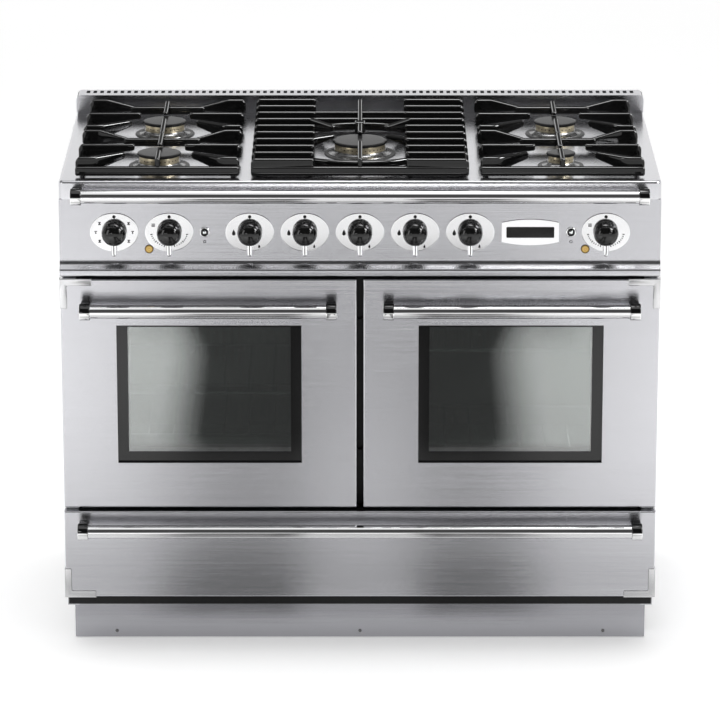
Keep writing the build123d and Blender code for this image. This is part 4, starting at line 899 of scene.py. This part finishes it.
def side_casting(front_cap):
    """Two burners' worth of fingers on a front bar, two cross bars and two rails."""
    edge, rear = box_mm("pan_support_left")[1].x - LEFT_X, BACK - REAR_STEP - BAR / 2
    bars = [cross_bar(edge, FRONT, BAR_LOW, BAR_TOP)]
    bars += [cross_bar(TIP_X + WEB, y, FRAME_LOW, FRAME_TOP) for y in (MIDDLE_BAR, rear)]
    for wing in (-1, 1):
        bars.append(rail(wing * (edge - BAR), FRONT, rear + REAR_STEP))
        for bar_y, step in ((MIDDLE_BAR, MIDDLE_STEP), (rear, REAR_STEP)):
            bars.append(bent_finger(wing, edge, bar_y + step, (wing * TIP_X, bar_y), FRAME_TOP))
        for axis in (FRONT_ROW, REAR_ROW):
            y = axis + RIB_BEHIND
            bars.append(bent_finger(wing, edge, axis + BEND_ROOT, (wing * TIP_X, axis + BEND_TIP)))
            bars.append(rib((wing * edge, y), (wing * RIB_TIP, y), FRAME_LOW, TIP_LOW, CHAMFER))
            bars.append(peg(wing * (edge - BAR), y))
    bars.append(cap_finger(FRONT, FRONT_ROW, front_cap, LONG_LAP, BAR_LOW))
    bars.append(cap_finger(MIDDLE_BAR, FRONT_ROW, front_cap, SHORT_LAP, FRAME_LOW))
    bars.append(cap_finger(MIDDLE_BAR, REAR_ROW, SIDE_CAP, LONG_LAP, FRAME_LOW))
    bars.append(cap_finger(rear, REAR_ROW, SIDE_CAP, SHORT_LAP, FRAME_LOW))
    return bars


for name, x, front_cap in (("left", LEFT_X, SIDE_CAP), ("right", RIGHT_X, SIMMER_CAP)):
    bars, body = [moved(bar, x, Y_FACE, HOB) for bar in side_casting(front_cap)], "pan_support_" + name
    piece("cast_support_" + name, bars, iron, body, [body])

# %% Pan supports: centre casting
RING_RADIUS, INNER, LUG, LUG_SIZE = 155.0, 84.0, WOK_ROW + 104.0, 20.0
FINGER_TIP, BACK_TIP, SIDE_TIP = 48.0, WOK_ROW + 78.0, WOK_ROW + 8.0


def centre_casting():
    """Ribs down both sides, a ring in two arcs round the wok burner, and fingers over its cap."""
    edge = box_mm("pan_support_centre")[1].x
    ribs = np.linspace(FRONT, BACK, 10)
    bars = [cross_bar(edge, FRONT, BAR_LOW, BAR_TOP)]
    bars += [cross_bar(INNER + BAR, y, FRAME_LOW, FRAME_TOP) for y in ribs[-3:-1]]
    sweep = np.arccos((INNER + WEB / 2) / RING_RADIUS)
    for way in (-1, 1):
        ring = arc(RING_RADIUS, way * RING_RADIUS, sweep, np.pi - sweep, 21) + (0, WOK_ROW)
        bars.append(cast_bar(ring, [FRAME_LOW] * len(ring), [FRAME_TOP] * len(ring), WEB))
    for wing in (-1, 1):
        bars += [rail(x, FRONT, ribs[-1]) for x in (wing * (edge - BAR), wing * (INNER + BAR / 2))]
        bars += [rib((wing * edge, y), (wing * INNER, y), FRAME_LOW, RAIL_TOP, CHAMFER) for y in ribs]
        bars += [peg(wing * (edge - BAR), y) for y in (ribs[1], ribs[-2])]
        root, tip = wing * (INNER + WEB), wing * FINGER_TIP
        bars.append(rib((root, ribs[6]), (tip, BACK_TIP), FRAME_LOW, TIP_LOW))
        bars.append(rib((root, ribs[3]), (tip, SIDE_TIP), RAIL_TOP, OVER_CAP))
    bars.append(cap_finger(FRONT, WOK_ROW, WOK_CAP, 9.0, BAR_LOW))
    bars.append(rib((0, ribs[-1]), (0, LUG), FRAME_LOW, FRAME_LOW))
    bars.append(rib((0, LUG), (0, LUG + LUG_SIZE), FRAME_LOW, FRAME_LOW, 0.0, LUG_SIZE))
    bars.append(cap_finger(LUG, WOK_ROW, WOK_CAP, 18.0, TIP_LOW))
    return bars


bars = [moved(bar, 0, Y_FACE, HOB) for bar in centre_casting()]
piece("cast_support_centre", bars, iron, "pan_support_centre", ["pan_support_centre"])

# %% [markdown]
# The oven doors' panes are coated and mirror the room more than bare glass does, which a high index
# of refraction gives. Their black border is a mask in object coordinates that chooses, through a Mix
# Shader, between glass and ink. The window's place comes from the panes' own boxes.

# %% Door glass
LAP, SIDE_BORDER, TOP_BORDER = 14.0, 20.0, 5.0


def bordered_glass(side):
    """Glass inside the border, ink outside it."""
    low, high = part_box("door_glass_" + side)
    paint = Paint("bordered_glass_" + side, base_color=(0.62, 0.66, 0.64, 1), roughness=0.02,
                  transmission_weight=1.0, ior=2.5)
    x, z = paint.axis("X"), paint.axis("Z")
    inset = (LAP + SIDE_BORDER) * MM
    clear = (x > low.x + inset) * (x < high.x - inset) * (z > low.z + inset)
    clear = clear * (z < high.z - (LAP + TOP_BORDER) * MM)
    ink = paint.node("ShaderNodeBsdfPrincipled", {}, {"Base Color": grey(0.008), "Roughness": 0.08})
    glass = Wire(paint, paint.shader.outputs[0])
    choice = paint.node("ShaderNodeMixShader", {}, {0: clear, 1: ink, 2: glass})
    paint.tree.links.new(choice.socket, paint.tree.nodes["Material Output"].inputs["Surface"])
    return paint.material


for side in ("left", "right"):
    dress(bordered_glass(side), "door_glass_" + side)
print("glass in both doors")

# %% [markdown]
# The control panel is one folded sheet: a flat face, a short bend, a slope that runs forward and an
# upright lip. Its side outline is worked out once, set back by the sheet's thickness for the inner
# face, and carried across the cooker. The slope looks up, so it mirrors the knobs above it.

# %% Folded sheet


def softened(corners, radius, steps=6):
    """Each corner B becomes the curve (1-t)^2 A + 2t(1-t) B + t^2 C, A and C a radius off on its edges."""
    corners = np.asarray(corners, dtype=float)
    sides = [np.roll(corners, step, axis=0) - corners for step in (1, -1)]
    before, after = (corners + radius * side / np.linalg.norm(side, axis=1, keepdims=True)
                     for side in sides)
    t = np.linspace(0, 1, steps)[None, :, None]
    curve = (1 - t) ** 2 * before[:, None] + 2 * t * (1 - t) * corners[:, None] + t ** 2 * after[:, None]
    return curve.reshape(-1, 2)


def carried(outline, start, stop, foot):
    """A side outline of (ahead, up) carried along X: P(i, k) = (x of row i, face - ahead k, foot + up k)."""
    ends = np.array([start, stop])[:, None] * np.ones(len(outline))
    flat = np.broadcast_to(outline, ends.shape + (2,))
    return np.stack([ends, Y_FACE - flat[..., 0], foot + flat[..., 1]], axis=-1)


print("folding ready")

# %% Control panel
SHEET, FLARE, LIP_FACE, LIP_ROUND, RETURN = 2.0, 12.0, 12.0, 2.6, 12.0
BEND, SLOPE = 14.0, np.radians(50)
panel_low, panel_high = box_mm("control_panel")
tall, deep, half = panel_high.z - panel_low.z, panel_high.y - Y_FACE, panel_high.x
run = FLARE - BEND * (1 - np.cos(SLOPE))
bend_top = LIP_FACE + run / np.tan(SLOPE) + BEND * np.sin(SLOPE)
hollow = (BEND, bend_top) - arc(BEND, BEND, 0, SLOPE, 14)
lip_corners = [hollow[-1], (FLARE, LIP_FACE), (FLARE, 0.0), (-RETURN, 0.0)]
lip = softened(lip_corners, LIP_ROUND, 6)[6:18]
outer = np.concatenate([[(0.0, tall), (0.0, bend_top + 1.0)], hollow, lip, [(-RETURN, 0.0)]])
ahead = np.gradient(outer, axis=0)
ahead /= np.linalg.norm(ahead, axis=1, keepdims=True)
inner = outer + SHEET * np.stack([ahead[:, 1], -ahead[:, 0]], axis=-1)
side_plate = np.concatenate([outer[:-1], [(-deep, 0.0), (-deep, tall)]])
sheets = [carried(np.concatenate([outer, inner[::-1]]), SHEET - half, half - SHEET, panel_low.z)]
for reach in ((-half, SHEET - half), (half - SHEET, half)):
    sheets.append(carried(side_plate, *reach, panel_low.z))
piece("folded_panel", sheets, steel, "casing", ["control_panel"])

# %% [markdown]
# A bright pressed angle guards each outer corner of the doors and the drawer. Its front is an L with
# rounded corners and rim, so a soft highlight outlines it, and two thin returns lap the edges.

# %% Corner caps
CAP_WIDE, CAP_TALL, CAP_ARM, CAP_SHEET, CAP_RETURN = 58.5, 56.5, 13.5, 1.5, 14.0
angle_plan = softened([(0, 0), (-CAP_WIDE, 0), (-CAP_WIDE, -CAP_ARM), (-CAP_ARM, -CAP_ARM),
                       (-CAP_ARM, -CAP_TALL), (0, -CAP_TALL)], 2.5)
side_plan = softened([(0, 0), (-CAP_SHEET, 0), (-CAP_SHEET, -CAP_TALL), (0, -CAP_TALL)], 0.5, 3)
top_plan = softened([(0, 0), (-CAP_WIDE, 0), (-CAP_WIDE, -CAP_SHEET), (0, -CAP_SHEET)], 0.5, 3)
cap_grids = [slab(angle_plan, 0.0, CAP_SHEET, 1.3, 6)]
cap_grids += [slab(plan, -CAP_RETURN, 0.3, 0.2, 2) for plan in (side_plan, top_plan)]


def corner_caps(name, node, body, places):
    """The angle mirrored into each corner: side is -1 on the left, upright -1 at the foot."""
    low, high = box_mm(node)
    grids = []
    for side, upright in places:
        spot = (low.x if side < 0 else high.x, low.z if upright < 0 else high.z, low.y + CAP_SHEET)
        grids += [on_front(grid * np.array([side, upright, 1]), *spot) for grid in cap_grids]
    piece(name, grids, cap_plate, body, [node])


corner_caps("pressed_cap_left", "door_corner_cap_left", "door_left", [(-1, 1)])
corner_caps("pressed_cap_right", "door_corner_cap_right", "door_right", [(1, 1)])
corner_caps("pressed_caps_drawer", "drawer_corner_caps", "drawer", [(-1, -1), (1, -1)])

# %% [markdown]
# Small fixings finish the front: three dull domed screw heads in the plinth and a bare dark field in
# the badge plate's recess.

# %% Small fixings
SCREW_Z, SCREW_X, FIELD_SINK = 14.0, 457.0, 0.8
screw = turned([(POLE, 0), (3.3, 0), (3.2, 0.7), (2.6, 1.4), (1.5, 1.8), (POLE, 1.9)], 32)
plinth_face = box_mm("plinth")[0].y
screws = [on_front(screw, x, SCREW_Z, plinth_face) for x in (-SCREW_X, 0.0, SCREW_X)]
piece("plinth_screws", screws, dull_screw, "casing")
badge, badge_face = middle_of("badge_plate"), box_mm("badge_plate")[0].y
field = slab(rounded_outline((-43.5, 43.5), (-10.0, 10.0), 2.0), 0.0, 0.5, 0.2, 3)
piece("badge_field", [on_front(field, badge.x, badge.z, badge_face + FIELD_SINK)], black_sheet, "casing")

# %% [markdown]
# The stage is a pale floor. It glows a little for rays from the camera, from mirrors and through
# glass, so the ground is white without more light on the cooker, and it still takes the shadow.

# %% Floor


def stage_sheet(name, paint, x, y, z):
    """A level rectangle, in metres."""
    mesh = bpy.data.meshes.new(name)
    corners = [(x[0], y[0], z), (x[1], y[0], z), (x[1], y[1], z), (x[0], y[1], z)]
    mesh.from_pydata(corners, [], [(0, 1, 2, 3)])
    mesh.materials.append(paint.material)
    made = placed(name, mesh)
    return made


FLOOR_REACH, FLOOR_GLOW = (-40.0, 40.0), 0.36
floor_paint = Paint("pale_floor", roughness=0.9, specular_ior_level=0.0, emission_strength=1.0)
rays = floor_paint.node("ShaderNodeLightPath", {}, {}, "Is Camera Ray")
for kind in ("Is Glossy Ray", "Is Transmission Ray"):
    rays = rays.math("MAXIMUM", rays, floor_paint.node("ShaderNodeLightPath", {}, {}, kind))
floor_paint.feed(base_color=floor_paint.mix(floor_paint.noise(0.7, 1.0), grey(0.9), grey(0.94)),
                 emission_color=floor_paint.neutral(rays * FLOOR_GLOW))
floor = stage_sheet("floor", floor_paint, FLOOR_REACH, FLOOR_REACH, 0.0)
print("floor", floor.name)

# %% [markdown]
# Steel shows what stands before it. A black card on the floor ahead of the cooker, which only mirrors
# see, darkens it. Its cover varies: two dark strips draw the soft upright bands on the doors, and
# weaker bands near and far shade the drawer and the panel.

# %% Black flag
FLAG_X, FLAG_Y, FLAG_Z = (-1.0, 1.0), (-3.4, -0.3), 0.004
flag_paint = Paint("black_velvet", roughness=1.0, specular_ior_level=0.0)
across, ahead = flag_paint.axis("X"), flag_paint.axis("Y")
left_strip = across.band(-0.46, -0.31) * (1.0 - across.band(-0.16, -0.08))
right_strip = across.band(0.08, 0.16) * (1.0 - across.band(0.26, 0.42))
beyond_doors = 1.0 - ahead.band(-1.62, -1.4)
strips = (left_strip + right_strip) * (0.44 + beyond_doors * 0.5)
aside = abs(across)
middle = (1.0 - aside.band(0.45, 0.7)) * 0.12 + (1.0 - aside.band(0.1, 0.2)) * 0.12
near = ahead.band(-1.0, -0.75) * (1.0 - ahead.band(-0.62, -0.5)) * 0.22
far = (1.0 - ahead.band(-2.7, -2.2)) * (1.0 - aside.band(0.42, 0.62)) * 0.5
low = ahead.band(-1.35, -1.15) * 0.12
cover = (strips + middle + near + far + low + 0.04) * ahead.band(-3.15, -2.98)
flag_paint.feed(base_color=flag_paint.mix(flag_paint.noise(300.0), grey(0.06), grey(0.1)), alpha=cover)
flag = stage_sheet("black_flag", flag_paint, FLAG_X, FLAG_Y, FLAG_Z)
flag.visible_camera = flag.visible_diffuse = flag.visible_shadow = False
print("flag", flag.name)

# %% [markdown]
# The world is the studio's walls: ahead of the cooker a dark wall under a white ceiling, and behind
# it a low white backdrop. A polished bar then shows a dark line between two white ones, which makes
# chrome look like chrome.

# %% World


class Sky(Paint):
    """The world's own node tree, painted with the same methods."""

    def __init__(self, world):
        self.tree = world.node_tree
        self.shader = self.tree.nodes["Background"]


world = bpy.data.worlds.new("studio")
world.use_nodes = True
bpy.context.scene.world = world
sky = Sky(world)
height, behind = sky.coordinate("Generated").part("Z"), sky.coordinate("Generated").part("Y")
wall = height.band(0.0, 0.05) * (1.0 - height.band(0.82, 0.9)) * 0.93
backdrop = height.band(0.4, 0.52) * (1.0 - height.band(0.88, 0.94)) * 0.8
rear = behind.band(-0.05, 0.15)
sky.feed(color=sky.neutral(1.0 - wall * (1.0 - rear) - backdrop * rear))
sky.shader.inputs["Strength"].default_value = 1.0
print("world", world.name)

# %% [markdown]
# Soft lamps light the cooker at a plain level: one overhead, one at each side, two that keep the
# floor pale and a small one in each oven. The key card gives the knobs their glint and lights nothing
# else but mirrors. The sun stands for the whole ceiling, and mirrors don't see it.

# %% Stage lamps
SOFTBOXES = {
    "overhead_box": ((0.1, 0.2, 2.8), (0, 0.1, 0.8), 1.5, 0.6, 16),
    "left_box": ((-3.2, -2.4, 1.8), (0, 0, 0.6), 1.2, 2.2, 18),
    "right_box": ((2.9, -2.7, 2.3), (0, -0.3, 0.8), 0.8, 0.9, 15),
    "left_pool": ((-1.2, -2.4, 1.0), (-1.2, -2.39, 0), 0.8, 0.8, 11),
    "right_pool": ((1.4, -2.0, 1.0), (1.4, -1.99, 0), 0.8, 0.8, 8),
    "left_oven_lamp": ((-0.44, -0.1, 0.62), (-0.49, 0.0, 0.5), 0.06, 0.06, 0.5),
    "right_oven_lamp": ((0.44, 0.0, 0.5), (0.49, 0.05, 0.4), 0.06, 0.06, 0.5),
    "key_card": ((2.27, -1.04, 2.68), (0, -0.3, 0.85), 1.1, 0.9, 62),
}


def softbox(name, spot, target, wide, high, watts):
    """A rectangular lamp that looks at a point."""
    lamp = bpy.data.lights.new(name, "AREA")
    lamp.shape, lamp.size, lamp.size_y, lamp.energy = "RECTANGLE", wide, high, watts
    made = placed(name, lamp)
    made.location = spot
    made.rotation_euler = (Vector(target) - Vector(spot)).to_track_quat("-Z", "Y").to_euler()
    made.visible_camera = False
    return made


boxes = {name: softbox(name, *row) for name, row in SOFTBOXES.items()}
boxes["key_card"].visible_diffuse = False
sun = bpy.data.lights.new("ceiling_light", "SUN")
sun.energy, sun.angle = 0.9, np.radians(70)
sun_object = placed("ceiling_light", sun)
sun_object.rotation_euler = (np.radians(18), np.radians(-10), 0.0)
sun_object.visible_glossy = False
print("stage lit by", [light.name for light in bpy.data.lights])

# %% [markdown]
# The photograph was taken from straight ahead and above. A long lens from far away keeps the uprights
# nearly parallel, and the tilt shows the hob.

# %% Camera
CAMERA_SPOT, CAMERA_TILT, LENS, SENSOR = (0.0, -8.196, 2.862), 16.14, 225.5, 36.0
camera = bpy.data.cameras.new("front_camera")
camera.lens, camera.sensor_width, camera.clip_end = LENS, SENSOR, 200.0
camera_object = placed("front_camera", camera)
camera_object.location = CAMERA_SPOT
camera_object.rotation_euler = (np.radians(90 - CAMERA_TILT), 0.0, 0.0)
bpy.context.scene.camera = camera_object
bpy.context.scene.view_settings.view_transform = "Standard"
print("camera at", list(camera_object.location))
